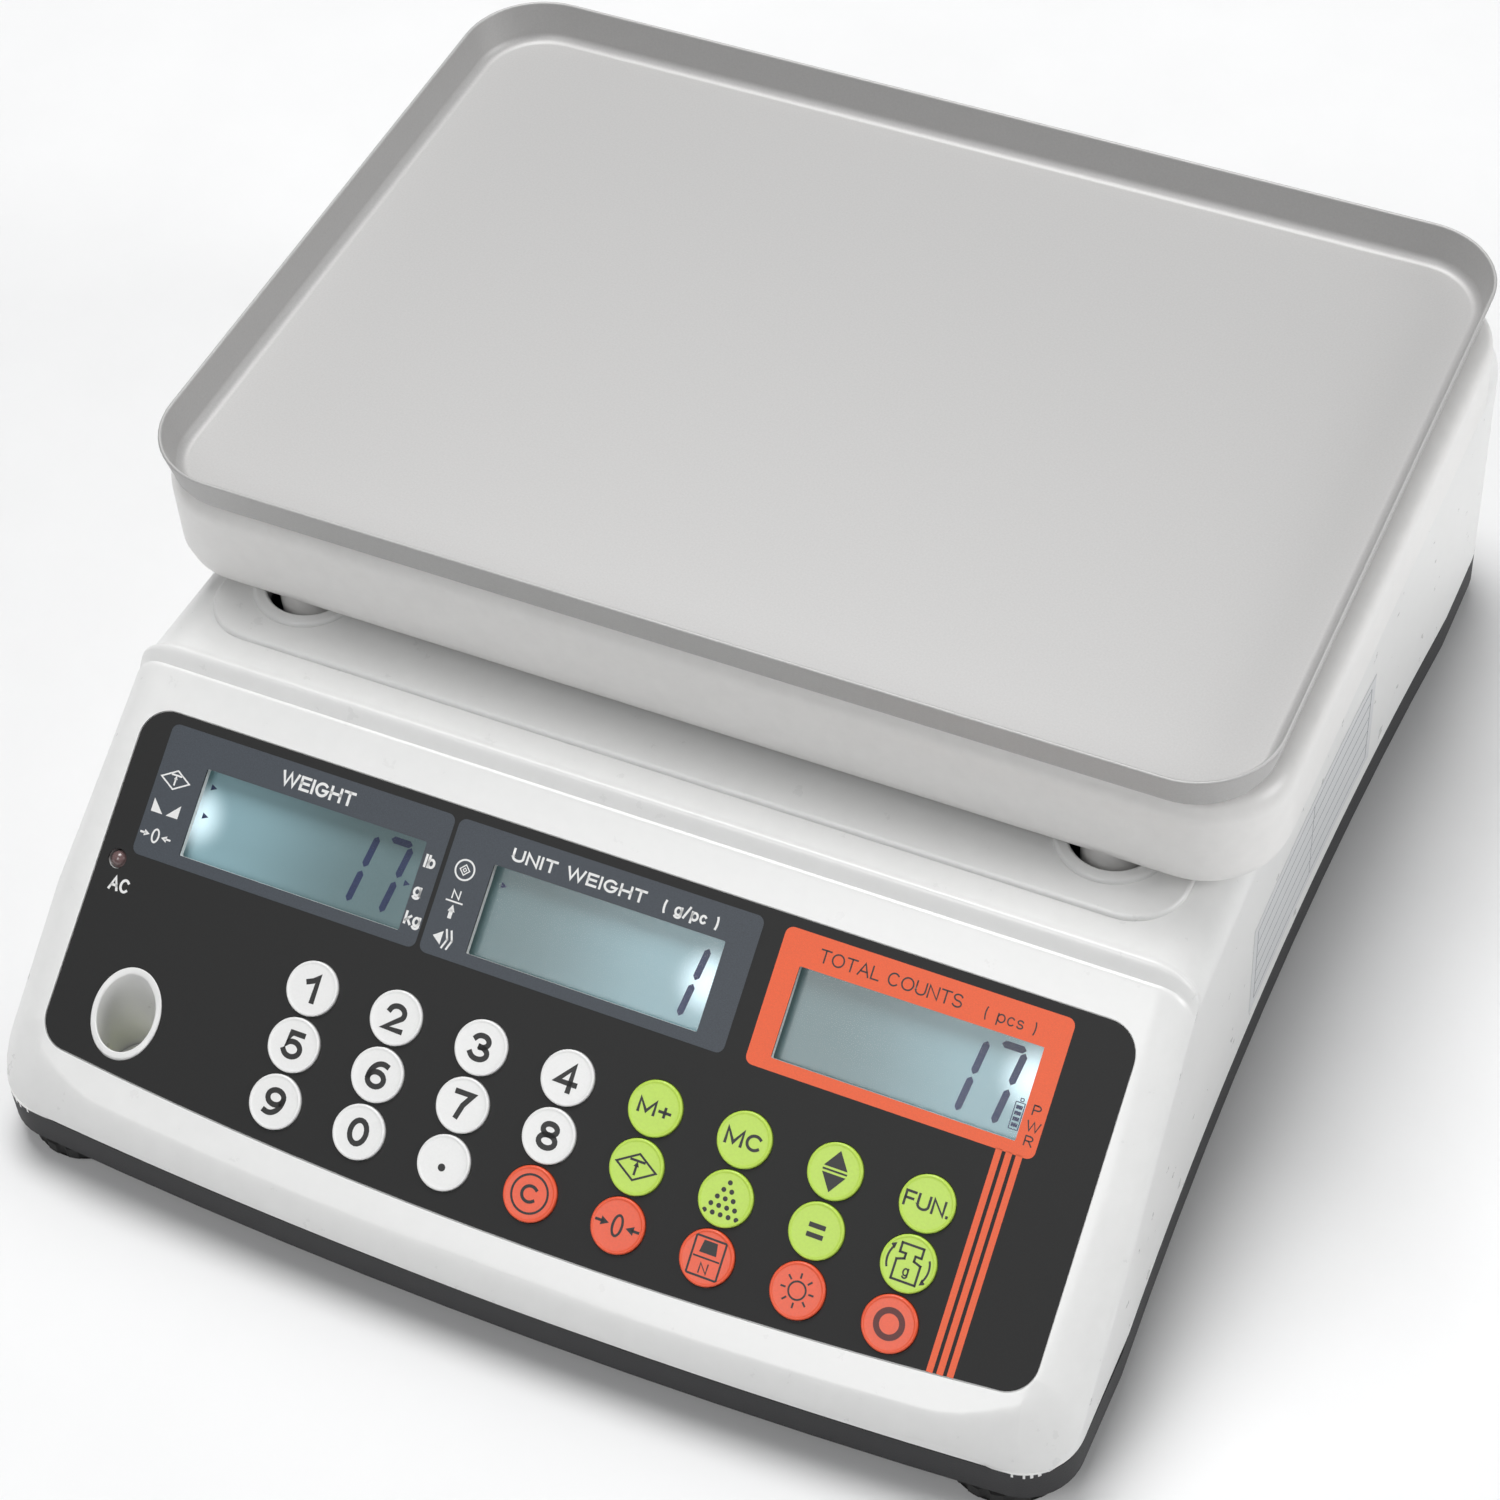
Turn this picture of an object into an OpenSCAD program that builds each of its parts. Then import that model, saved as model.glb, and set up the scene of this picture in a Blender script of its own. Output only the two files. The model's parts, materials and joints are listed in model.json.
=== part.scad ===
// Counting scale: white housing on a black base, sloping panel with three displays and
// 24 keys, and a steel pan on a carrier whose four legs stand on a load cell's cross frame.
// The scale faces -Y, stands on Z = 0 and is centred on X = 0 and Y = 0.

/* [Body] */
// Width of the housing and base
body_w = 290; // [270:1:350]
// Depth of the housing and base, front to back
body_d = 342; // [325:1:412]
// Height of the flat deck under the pan
deck_z = 95.5; // [92:0.5:115]
// Height of the base's underside above the table
base_z = 8; // [7.5:0.5:14]
// Height of the black band of the base
band_h = 10; // [8:0.5:14]
// Thickness of the housing's wall
wall = 2.6; // [2:0.1:3.2]
// Thickness of the base's floor
floor_t = 2.5; // [2:0.1:3]
// How far the front edge bows out at its middle
front_bow = 5; // [3:0.5:7]
// How far each side is drawn in at its middle
side_waist = 4.5; // [2:0.5:5]
// Radius of the front corners, seen from above
front_corner_r = 15; // [13:1:20]
// Radius of the rear corners, seen from above
rear_corner_r = 20; // [16:1:26]
// Radius of the shoulder along each side
shoulder_r = 12; // [8:0.5:14]
// Radius of the rear top edge
rear_edge_r = 9; // [6:0.5:10]

/* [Panel] */
// Slope of the control panel from the horizontal, in degrees
panel_slope = 36.2; // [34:0.1:38]
// Length of the panel down its slope, at the middle
panel_len = 119.3; // [114:0.1:130]
// Width of the black overlay
overlay_w = 265.6; // [245:0.1:268]
// Distance from the ridge down the slope to the overlay's top edge
overlay_top = 15.9; // [13:0.1:17]
// Distance from the ridge down the slope to the overlay's bottom edge, at the middle
overlay_bottom = 110.2; // [109:0.1:115]
// Radius of the overlay's corners
overlay_corner_r = 8; // [4:0.5:10]
// How far the overlay's bottom edge bows out at its middle
overlay_rise = 6.2; // [4:0.2:7]
// Thickness of the overlay sheet
overlay_t = 0.5; // [0.3:0.1:0.8]
// Width of each display window
window_w = 62; // [50:0.5:64]
// Height of each display window
window_h = 22.5; // [18:0.5:24]
// Distance from the ridge down to the middle of the windows
window_v = 38; // [37:0.5:40]
// Radius of the mains lamp
lamp_r = 2.3; // [1.8:0.1:3]

/* [Keys] */
// Radius of each round key
key_r = 6.8; // [5.8:0.1:7]
// Distance between key columns
key_pitch_x = 23.3; // [21:0.1:24]
// Distance between key rows
key_pitch_y = 14.4; // [14.2:0.1:14.6]
// Distance of the first key column from the middle of the scale
key_first_x = 66.5; // [60:0.5:72]
// Distance from the ridge down to the first key row
key_first_v = 69.4; // [68:0.1:70]
// How far a key stands above the overlay
key_proud = 0.9; // [0.6:0.1:1.5]
// Gap round each key
key_gap = 0.2; // [0.15:0.05:0.3]

/* [Pan] */
// Width of the pan over its rim
pan_w = 294; // [245:1:353]
// Depth of the pan over its rim, front to back
pan_d = 203; // [190:1:243]
// Height of the pan from its underside to its rim
pan_h = 12; // [9:0.5:16]
// Thickness of the pan's sheet
sheet_t = 1; // [0.8:0.1:1.5]
// Radius of the pan's corners at the rim
pan_corner_r = 22; // [18:1:26]
// How far the pan's wall leans out
pan_lean = 1.8; // [0.5:0.1:3]
// Radius between the pan's floor and its wall
pan_fillet = 4; // [2:0.5:6]
// Distance from the middle of the body back to the middle of the pan
pan_y = 46; // [44:0.5:50]

/* [Carrier] */
// Overall width of the carrier
carrier_w = 298; // [250:1:356]
// How much less deep the carrier is than the pan
carrier_less = 8; // [6:0.5:12]
// Radius of the carrier's corners
carrier_corner_r = 22; // [20:1:26]
// Radius of the carrier's top edge
carrier_edge_r = 6; // [4:0.5:8]
// Height of the carrier's skirt and top
carrier_h = 27.2; // [22:0.1:30]
// Thickness of the carrier's moulding
carrier_wall = 2.6; // [2:0.1:3.5]
// Gap between the deck and the underside of the carrier's skirt
carrier_gap = 4.7; // [4.2:0.1:8]
// Radius of the carrier's four legs
leg_r = 8; // [6:0.5:9]
// Distance from the carrier's side to the middle of a leg
leg_inset_x = 40; // [36:0.5:46]
// Distance from the carrier's front or back to the middle of a leg
leg_inset_y = 10; // [9:0.5:12]
// Radial gap between a leg and its collar
collar_gap = 3; // [2:0.5:4]
// Width of the raised collar round each leg hole
collar_w = 3.6; // [2:0.1:4]

/* [Load cell] */
// Length of the load cell
cell_l = 150; // [130:1:160]
// Width of the load cell
cell_w = 40; // [30:1:44]
// Height of the load cell
cell_h = 24; // [20:1:26]
// Length of each bolted end of the load cell
cell_end = 30; // [26:1:34]
// Thickness of the base plate
plate_t = 3; // [2:0.5:4]
// Thickness of the spacer under the load cell's fixed end
spacer_t = 5; // [4:0.5:6]
// Thickness of the spider's arms
arm_t = 4; // [3:0.5:5]
// Width of the spider's arms
arm_w = 22; // [18:1:26]
// Travel of the platform at full load
load_travel = 0.5; // [0.3:0.1:0.6]

/* [Feet] */
// Distance from the body's side to the middle of a foot
foot_inset_x = 19; // [18:0.5:21]
// Distance from the body's front or back to the middle of a foot
foot_inset_y = 21; // [20:0.5:23]
// Radius of the foot pads
foot_r = 15.5; // [13:0.5:17]
// Radius of the foot's threaded stud
stud_r = 3; // [2.5:0.5:3]
// Radial clearance of a stud in its thread and pad
stud_gap = 0.05; // [0.03:0.01:0.1]

/* [Hidden] */
$fn = 64;
far = 900;
fine = 720;
eps = 0.02;

KEYS = ["key_1", "key_2", "key_3", "key_4",
        "key_memory_add", "key_memory_clear", "key_up_down", "key_function",
        "key_5", "key_6", "key_7", "key_8",
        "key_tare", "key_sample", "key_equals", "key_units",
        "key_9", "key_0", "key_point", "key_clear",
        "key_zero", "key_unit_weight", "key_light", "key_power"];
FEET = ["front_left", "front_right", "rear_left", "rear_right"];
STUDS = [for (f = FEET) str("foot_stud_", f)];
PADS = [for (f = FEET) str("foot_pad_", f)];
PIECES = ["upper_housing", "bottom_tray", "steel_pan", "pan_carrier", "pan_pads",
          "spider_bracket", "spider_cups", "load_cell", "cell_spacer", "cell_bolts_lower",
          "cell_bolts_upper", "base_plate", "overload_stops", "front_board", "main_board",
          "lcd_weight", "lcd_unit_weight", "lcd_total", "display_windows", "keypad_overlay",
          "key_switches", "mains_lamp", "level_vial", "battery", "battery_door",
          "power_inlet", "wiring", "housing_screws"];

// Heights, from the table up
seam_z = base_z + band_h;
floor_z = base_z + floor_t;
plate_z = floor_z + plate_t;
cell_z = plate_z + spacer_t;
boss_z = cell_z + cell_h;
arm_gap = 5;
arm_z = boss_z + arm_gap;
cup_z = arm_z + arm_t;
cup_floor_t = 3;
cup_h = 10;
cup_r = 13;
seat_gap = 0.1;
leg_z = cup_z + cup_floor_t + seat_gap;
plateau_h = 1.3;
collar_h = 1.2;
carrier_z = deck_z + carrier_gap;
carrier_top = carrier_z + carrier_h;
pad_proud = 1;
pan_z = carrier_top + pad_proud + seat_gap;

// Panel
crease_inset = 3.2;
ridge_y = -body_d / 2 + crease_inset + panel_len * cos(panel_slope);
recess_v = 0.3;
window_x = [-81, -0.5, 80.8];
lip = 2;
window_t = 1.2;
board_n = -9;
board_t = 1.6;
lcd_gap = 0.3;
board_inset = 8;
lcd_h = -board_n - window_t - wall - lcd_gap;
lamp_x = -overlay_w / 2 + 5;
lamp_v = 54.9;
switch_h = 3.5;
plunger_h = 0.5;
plunger_r = 1.7;
key_travel = 0.5;
key_skirt = 2.6;
ear_out = 1.6;
ear_t = 0.8;
stem_r = 2.2;

// Level tube
tube_x = -body_w / 2 + 33;
tube_y = -body_d / 2 + 26.5;
tube_r = 9.3;
tube_bore = 7.8;
vial_gap = 0.2;
vial_z = floor_z + 1.5;
vial_h = 8;

// Carrier and pan
carrier_d = pan_d - carrier_less;
leg_x = carrier_w / 2 - leg_inset_x;
leg_y = carrier_d / 2 - leg_inset_y;
LEGS = [for (sx = [-1, 1], sy = [-1, 1]) [sx * leg_x, pan_y + sy * leg_y]];
collar_bore = leg_r + collar_gap;
collar_r = collar_bore + collar_w;
plateau_x = leg_x + 22;
plateau_y = leg_y + 22;
plateau_r = 14;
pad_r = 7;
pad_x = pan_w / 2 - 37;
pad_y = pan_d / 2 - 31.5;

// Load cell, spider and stops
bolt_r = 3;
bolt_clear = 0.3;
bolt_head_r = 5;
bolt_head_h = 6;
bolt_pitch = 20;
csk_r = 5.5;
csk_h = 2.5;
end_x = cell_l / 2 - cell_end / 2;
stop_share = 0.5;
stop_x = leg_x * stop_share;
stop_y = leg_y * stop_share;
stop_gap = load_travel + 0.1;

// Battery under the deck's front
battery_w = 101;
battery_d = 70;
battery_h = 46;
battery_y = pan_y - cell_w / 2 - 75;
battery_gap = 1.5;
bay_t = 2;
bay_h = 24;
tongue_w = 12;
tongue_t = 1.2;
tongue_l = 2.6;
tongue_y = 20;
bay_x = battery_w / 2 + battery_gap;
bay_y = battery_d / 2 + battery_gap;
door_gap = 0.3;
plate_x = leg_x + 12;
plate_front = battery_y + battery_d / 2 + battery_gap + bay_t + 2.5;
plate_back = pan_y + leg_y + 8;

// Fastenings between housing and base
post_r = 4.5;
post_bore = 1.7;
screw_r = 1.6;
screw_head_r = 3.6;
screw_head_h = 2.6;
screw_l = 22;
screw_sink = 0.5;
post_foot_z = base_z + 6;
POSTS = [for (sx = [-1, 1], y = [-body_d / 2 + 66, 20, body_d / 2 - 45])
         [sx * (body_w / 2 - side_waist - wall - post_r - 2.2), y]];
FOOT_AT = [for (sy = [-1, 1], sx = [-1, 1])
           [sx * (body_w / 2 - foot_inset_x), sy * (body_d / 2 - foot_inset_y)]];
foot_h = 7;
stud_top = 21;
stud_bottom = 3;
foot_boss_wall = 1.6;

// Boards, inlet and leads
main_x = 90;
main_y = battery_y;
main_w = 56;
main_d = 70;
main_z = floor_z + 8;
inlet_x = -90;
inlet_z = 34;
inlet_r = 2.9;
inlet_w = 10;
inlet_d = 14;
lead_r = 1.6;

// Points of an arc in the plane, for rounded profiles
function arc(cx, cy, r, from, to, steps = 8) =
    [for (i = [0:steps]) let (a = from + (to - from) * i / steps) [cx + r * cos(a), cy + r * sin(a)]];

// Radius of the circle through a chord of half length h with the given rise
function bow_radius(h, rise) = (h * h + rise * rise) / (2 * rise);

module on_panel() {
    translate([0, ridge_y, deck_z]) rotate([panel_slope, 0, 0]) children();
}

// Body outline seen from above, drawn in by t
module outline(t) {
    w = body_w / 2 - t;
    front = -body_d / 2 + front_bow + t;
    rear = body_d / 2 - t;
    rf = front_corner_r - t;
    rr = rear_corner_r - t;
    bow_half = w - rf;
    bow_r = bow_radius(body_w / 2 - front_corner_r, front_bow);
    waist_half = body_d / 2 - 45;
    waist_r = bow_radius(waist_half, side_waist);
    difference() {
        union() {
            translate([-w, front + rf]) square([2 * w, rear - rr - front - rf]);
            translate([-bow_half, front]) square([2 * bow_half, rf + 1]);
            translate([-w + rr, rear - rr - 1]) square([2 * (w - rr), rr + 1]);
            for (s = [-1, 1]) {
                translate([s * (w - rf), front + rf]) circle(rf);
                translate([s * (w - rr), rear - rr]) circle(rr);
            }
            intersection() {
                translate([0, -body_d / 2 + bow_r]) circle(bow_r - t, $fn = fine);
                translate([-bow_half, -body_d / 2]) square([2 * bow_half, 30]);
            }
        }
        for (s = [-1, 1])
            translate([s * (body_w / 2 - side_waist + waist_r), 0]) circle(waist_r + t, $fn = fine);
    }
}

// Width and shoulders of the body across a face, top at 0
module shoulder_profile(t) {
    w = body_w / 2 - t;
    r = shoulder_r - t;
    translate([-w, -far]) square([2 * w, far - r]);
    translate([-w + r, -r - 1]) square([2 * (w - r), r + 1]);
    for (s = [-1, 1]) translate([s * (w - r), -r]) circle(r);
}

// Side view of the body with its rear top edge rounded, extruded right across
module rear_prism(t) {
    r = rear_edge_r - t;
    rear = body_d / 2 - t;
    top = deck_z - t;
    translate([-far, 0, 0]) rotate([90, 0, 90]) linear_extrude(2 * far) {
        translate([-far, -1]) square([far + rear - r, top + 1]);
        translate([0, -1]) square([rear, top - r + 1]);
        translate([rear - r, top - r]) circle(r);
    }
}

module face_prism(t) {
    translate([0, far, -t]) rotate([90, 0, 0]) linear_extrude(2 * far) shoulder_profile(t);
}

// The closed body form drawn in by t, from height z up
module body_form(t, z) {
    intersection() {
        translate([0, 0, z]) linear_extrude(deck_z + 10 - z) outline(t);
        translate([0, 0, deck_z]) face_prism(t);
        rear_prism(t);
        on_panel() face_prism(t);
    }
}

module rounded_rect(w, d, r) {
    translate([-w / 2 + r, -d / 2]) square([w - 2 * r, d]);
    translate([-w / 2, -d / 2 + r]) square([w, d - 2 * r]);
    for (sx = [-1, 1], sy = [-1, 1]) translate([sx * (w / 2 - r), sy * (d / 2 - r)]) circle(r);
}

// Overlay outline on the panel, grown by g: straight top, bowed bottom
module overlay_outline(g = 0) {
    w = overlay_w / 2 + g;
    r = overlay_corner_r + g;
    bow_half = overlay_w / 2 - overlay_corner_r;
    bow_r = bow_radius(bow_half, overlay_rise);
    low = overlay_bottom - overlay_rise + g;
    top = overlay_top - g;
    translate([-w, -low + r]) square([2 * w, low - top - 2 * r]);
    translate([-bow_half, -low]) square([2 * bow_half, low - top]);
    for (s = [-1, 1]) {
        translate([s * bow_half, -low + r]) circle(r);
        translate([s * bow_half, -top - r]) circle(r);
    }
    intersection() {
        translate([0, -overlay_bottom + bow_r]) circle(bow_r + g, $fn = fine);
        translate([-bow_half, -overlay_bottom - g]) square([2 * bow_half, 30]);
    }
}

module at_keys() {
    for (i = [0:2], j = [0:7])
        translate([-key_first_x + j * key_pitch_x, -key_first_v - i * key_pitch_y]) children();
}

module at_windows() {
    for (x = window_x) translate([x, -window_v]) children();
}

module at_tube(z, h, r) {
    translate([tube_x, tube_y, z]) cylinder(h = h, r = r);
}

// Boss from the housing wall down to the front board
module board_bosses() {
    for (x = [-overlay_w / 2 + 12, overlay_w / 2 - 12], v = [26, 72])
        translate([x, -v, board_n]) cylinder(h = -board_n - wall / 2, r = 3);
}

module upper_housing() {
    color("whitesmoke")
    difference() {
        union() {
            difference() {
                body_form(0, seam_z);
                body_form(wall, seam_z - 1);
                on_panel() translate([0, 0, -overlay_t]) linear_extrude(5) overlay_outline(recess_v);
            }
            translate([0, pan_y, deck_z - 0.5]) linear_extrude(plateau_h + 0.5)
                rounded_rect(2 * plateau_x, 2 * plateau_y, plateau_r);
            for (p = LEGS) translate([p[0], p[1], deck_z - wall])
                cylinder(h = wall + plateau_h + collar_h, r = collar_r);
            intersection() {
                body_form(wall / 2, post_foot_z);
                for (p = POSTS) translate([p[0], p[1], post_foot_z]) cylinder(h = far, r = post_r);
            }
            intersection() {
                body_form(0, vial_z);
                at_tube(vial_z + 1, far, tube_r);
            }
            on_panel() board_bosses();
            translate([inlet_x - 8, body_d / 2 - wall - 6, inlet_z - 8]) cube([2, 6.5, 16]);
            translate([inlet_x + 6, body_d / 2 - wall - 6, inlet_z - 8]) cube([2, 6.5, 16]);
        }
        at_tube(vial_z, far, tube_bore);
        for (p = LEGS) translate([p[0], p[1], deck_z - wall - 1]) cylinder(h = 30, r = collar_bore);
        for (p = POSTS) translate([p[0], p[1], post_foot_z - 1]) cylinder(h = screw_l, r = post_bore);
        on_panel() {
            translate([0, 0, -20]) linear_extrude(30)
                at_windows() square([window_w, window_h], center = true);
            translate([0, 0, -wall - 1]) linear_extrude(30) at_keys() circle(key_r + key_gap);
            translate([lamp_x, -lamp_v, -wall - 1]) cylinder(h = 30, r = lamp_r + key_gap);
        }
        translate([inlet_x, body_d / 2 - wall - 1, inlet_z]) rotate([-90, 0, 0]) cylinder(h = 10, r = 4.5);
    }
}

module bottom_tray() {
    color("black")
    difference() {
        union() {
            difference() {
                translate([0, 0, base_z]) linear_extrude(band_h) outline(0);
                translate([0, 0, floor_z]) linear_extrude(band_h) outline(wall);
            }
            for (p = POSTS) translate([p[0], p[1], base_z]) cylinder(h = 6 - eps, r = post_r + 1.5);
            for (p = FOOT_AT) translate([p[0], p[1], base_z])
                cylinder(h = band_h + 4, r = stud_r + foot_boss_wall);
            at_tube(base_z, vial_z - base_z, tube_bore);
            translate([0, battery_y, base_z]) linear_extrude(floor_t + bay_h)
                square([2 * (bay_x + bay_t), 2 * (bay_y + bay_t)], center = true);
            for (sx = [-1, 1], sy = [-1, 1])
                translate([main_x + sx * (main_w / 2 - 5), main_y + sy * (main_d / 2 - 5), base_z])
                    cylinder(h = main_z - base_z, r = 3.5);
        }
        translate([0, battery_y, base_z - 1]) linear_extrude(60)
            square([2 * bay_x, 2 * bay_y], center = true);
        for (sx = [-1, 1], sy = [-1, 1])
            translate([sx * bay_x, battery_y + sy * tongue_y, floor_z + tongue_t / 2])
                cube([tongue_l, tongue_w, tongue_t] + 2 * door_gap * [1, 1, 1], center = true);
        for (p = POSTS) translate([p[0], p[1], base_z - 1]) {
            cylinder(h = 20, r = screw_r + 0.4);
            cylinder(h = 1 + screw_sink + screw_head_h, r = screw_head_r + 0.5);
        }
        for (p = FOOT_AT) translate([p[0], p[1], base_z - 1]) cylinder(h = 40, r = stud_r + stud_gap);
    }
}

// A rounded box made from one radial profile: children() is drawn from x = 0 to x = r
module rounded_box(w, d, r, low, high) {
    for (sx = [-1, 1], sy = [-1, 1]) translate([sx * (w / 2 - r), sy * (d / 2 - r), 0])
        rotate_extrude() children();
    for (a = [0, 180]) rotate(a) translate([w / 2 - r, d / 2 - r, 0])
        rotate([90, 0, 0]) linear_extrude(d - 2 * r) children();
    for (a = [90, 270]) rotate(a) translate([d / 2 - r, w / 2 - r, 0])
        rotate([90, 0, 0]) linear_extrude(w - 2 * r) children();
    translate([-w / 2 + r, -d / 2 + r, low]) cube([w - 2 * r, d - 2 * r, high - low]);
}

// Radial profile of the pan, drawn in by t, floor at t
module pan_profile(t) {
    r = pan_corner_r - t;
    f = max(pan_fillet - t, 0.5);
    high = pan_h + (t > 0 ? 1 : 0);
    polygon(concat([[0, t]], arc(r - pan_lean - f, t + f, f, -90, 0), [[r, pan_h], [r, high], [0, high]]));
}

module steel_pan() {
    color("silver")
    translate([0, pan_y, pan_z]) difference() {
        rounded_box(pan_w, pan_d, pan_corner_r, 0, pan_h) pan_profile(0);
        rounded_box(pan_w - 2 * sheet_t, pan_d - 2 * sheet_t, pan_corner_r - sheet_t, sheet_t, pan_h + 1)
            pan_profile(sheet_t);
    }
}

// Radial profile of the carrier, drawn in by t, skirt open below
module carrier_profile(t) {
    r = carrier_corner_r - t;
    f = carrier_edge_r - t;
    low = t > 0 ? -1 : 0;
    high = carrier_h - t;
    foot_in = 1.2;
    polygon(concat([[0, low], [r - foot_in, low], [r, 4]], arc(r - f, high - f, f, 0, 90), [[0, high]]));
}

module carrier_form(t, low) {
    translate([0, pan_y, carrier_z])
        rounded_box(carrier_w - 2 * t, carrier_d - 2 * t, carrier_corner_r - t, low, carrier_h - t)
            carrier_profile(t);
}

module pan_carrier() {
    rib_h = 7;
    rib_t = 2;
    rib_z = carrier_top - carrier_wall - rib_h;
    color("gainsboro")
    difference() {
        union() {
            difference() {
                carrier_form(0, 0);
                carrier_form(carrier_wall, -1);
            }
            intersection() {
                carrier_form(carrier_wall / 2, -1);
                union() {
                    for (p = LEGS) translate([p[0], p[1], carrier_z]) cylinder(h = carrier_h, r = leg_r);
                    for (a = [-1, 1]) translate([0, pan_y + a * leg_y * 0.45, rib_z])
                        linear_extrude(carrier_h) square([carrier_w, rib_t], center = true);
                    for (a = [-1, 0, 1]) translate([a * leg_x * 0.6, pan_y, rib_z])
                        linear_extrude(carrier_h) square([rib_t, carrier_d], center = true);
                }
            }
            for (p = LEGS) translate([p[0], p[1], leg_z]) cylinder(h = carrier_z + 4 - leg_z, r = leg_r);
        }
        for (sx = [-1, 1], sy = [-1, 1])
            translate([sx * pad_x, pan_y + sy * pad_y, carrier_top - 1]) cylinder(h = 5, r = pad_r);
    }
}

module pan_pads() {
    color("dimgray")
    for (sx = [-1, 1], sy = [-1, 1])
        translate([sx * pad_x, pan_y + sy * pad_y, carrier_top - 1]) cylinder(h = 1 + pad_proud, r = pad_r);
}

module spider_bracket() {
    span = sqrt(leg_x * leg_x + leg_y * leg_y);
    lean = atan(leg_y / leg_x);
    color("darkgray")
    difference() {
        union() {
            translate([0, pan_y, arm_z]) linear_extrude(arm_t) {
                for (a = [lean, -lean]) rotate(a) square([2 * span, arm_w], center = true);
                translate([-cell_l / 2 + 25, -cell_w / 2 - 4]) square([cell_l - 25, cell_w + 8]);
            }
            for (p = LEGS) translate([p[0], p[1], arm_z]) cylinder(h = arm_t, r = cup_r);
            translate([end_x - cell_end / 2 + 1, pan_y - cell_w / 2 + 1, boss_z])
                cube([cell_end - 1, cell_w - 2, arm_gap + 1]);
        }
        for (s = [-1, 1]) translate([end_x, pan_y + s * bolt_pitch / 2, boss_z - 1])
            cylinder(h = 20, r = bolt_r + bolt_clear);
        for (s = [-1, 1]) translate([s * 22, pan_y, arm_z - 1]) cylinder(h = arm_t + 2, r = 9);
    }
}

module spider_cups() {
    color("black")
    for (p = LEGS) translate([p[0], p[1], cup_z]) difference() {
        cylinder(h = cup_h, r = cup_r);
        translate([0, 0, cup_floor_t]) cylinder(h = cup_h, r = leg_r + 0.4);
    }
}

module load_cell() {
    color("lightgray")
    translate([0, pan_y, cell_z]) difference() {
        translate([-cell_l / 2, -cell_w / 2, 0]) cube([cell_l, cell_w, cell_h]);
        for (s = [-1, 1]) translate([s * 14, cell_w, cell_h / 2]) rotate([90, 0, 0])
            cylinder(h = 2 * cell_w, r = cell_h / 2 - 3.5);
        translate([-14, -cell_w, cell_h / 2 - 3]) cube([28, 2 * cell_w, 6]);
        for (s = [-1, 1], t = [-1, 1]) translate([t * end_x, s * bolt_pitch / 2, -1])
            cylinder(h = cell_h + 2, r = bolt_r + stud_gap);
    }
}

module cell_spacer() {
    color("slategray")
    translate([-end_x, pan_y, plate_z]) difference() {
        translate([-cell_end / 2 + 1, -cell_w / 2 + 1, 0]) cube([cell_end - 2, cell_w - 2, spacer_t]);
        for (s = [-1, 1]) translate([0, s * bolt_pitch / 2, -1])
            cylinder(h = spacer_t + 2, r = bolt_r + bolt_clear);
    }
}

// Socket-head bolt pointing up from its head
module bolt(l) {
    difference() {
        cylinder(h = bolt_head_h, r = bolt_head_r);
        translate([0, 0, -1]) cylinder(h = 4, r = 2.9, $fn = 6);
    }
    translate([0, 0, bolt_head_h - eps]) cylinder(h = l + eps, r = bolt_r);
}

module cell_bolts_lower() {
    color("dimgray")
    for (s = [-1, 1]) translate([-end_x, pan_y + s * bolt_pitch / 2, floor_z]) difference() {
        union() {
            translate([0, 0, 0.1]) cylinder(h = csk_h, r1 = csk_r, r2 = bolt_r);
            cylinder(h = plate_t + spacer_t + 14, r = bolt_r);
        }
        translate([0, 0, -1]) cylinder(h = 3, r = 1.8, $fn = 6);
    }
}

module cell_bolts_upper() {
    color("dimgray")
    for (s = [-1, 1]) translate([end_x, pan_y + s * bolt_pitch / 2, cup_z + bolt_head_h])
        mirror([0, 0, 1]) bolt(arm_t + arm_gap + 12);
}

module base_plate() {
    color("lightsteelblue")
    difference() {
        translate([-plate_x, plate_front, floor_z]) cube([2 * plate_x, plate_back - plate_front, plate_t]);
        for (s = [-1, 1]) translate([-end_x, pan_y + s * bolt_pitch / 2, floor_z]) {
            translate([0, 0, -1]) cylinder(h = 20, r = bolt_r + stud_gap);
            cylinder(h = csk_h, r1 = csk_r + 0.15, r2 = bolt_r + stud_gap);
            translate([0, 0, -1]) cylinder(h = 1.1, r = csk_r + 0.15);
        }
        for (s = [-1, 1]) translate([s * (plate_x - 32), pan_y, floor_z - 1]) cylinder(h = 20, r = 11);
        for (sx = [-1, 1], sy = [-1, 1]) translate([sx * stop_x, pan_y + sy * stop_y, floor_z - 1])
            cylinder(h = 20, r = bolt_r - eps);
    }
}

module overload_stops() {
    color("goldenrod")
    for (sx = [-1, 1], sy = [-1, 1]) translate([sx * stop_x, pan_y + sy * stop_y, 0]) {
        translate([0, 0, floor_z]) cylinder(h = arm_z - stop_gap - floor_z, r = bolt_r - eps);
        translate([0, 0, plate_z]) difference() {
            cylinder(h = 5, r = 5.8, $fn = 6);
            translate([0, 0, -1]) cylinder(h = 7, r = bolt_r);
        }
    }
}

module front_board() {
    color("darkgreen")
    difference() {
        on_panel() translate([0, 0, board_n - board_t]) linear_extrude(board_t)
            translate([-overlay_w / 2 + board_inset, -key_first_v - 2 * key_pitch_y - board_inset])
                square([overlay_w - 2 * board_inset, key_first_v + 2 * key_pitch_y + board_inset - 20]);
        at_tube(0, far, tube_r + 2);
    }
}

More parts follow.
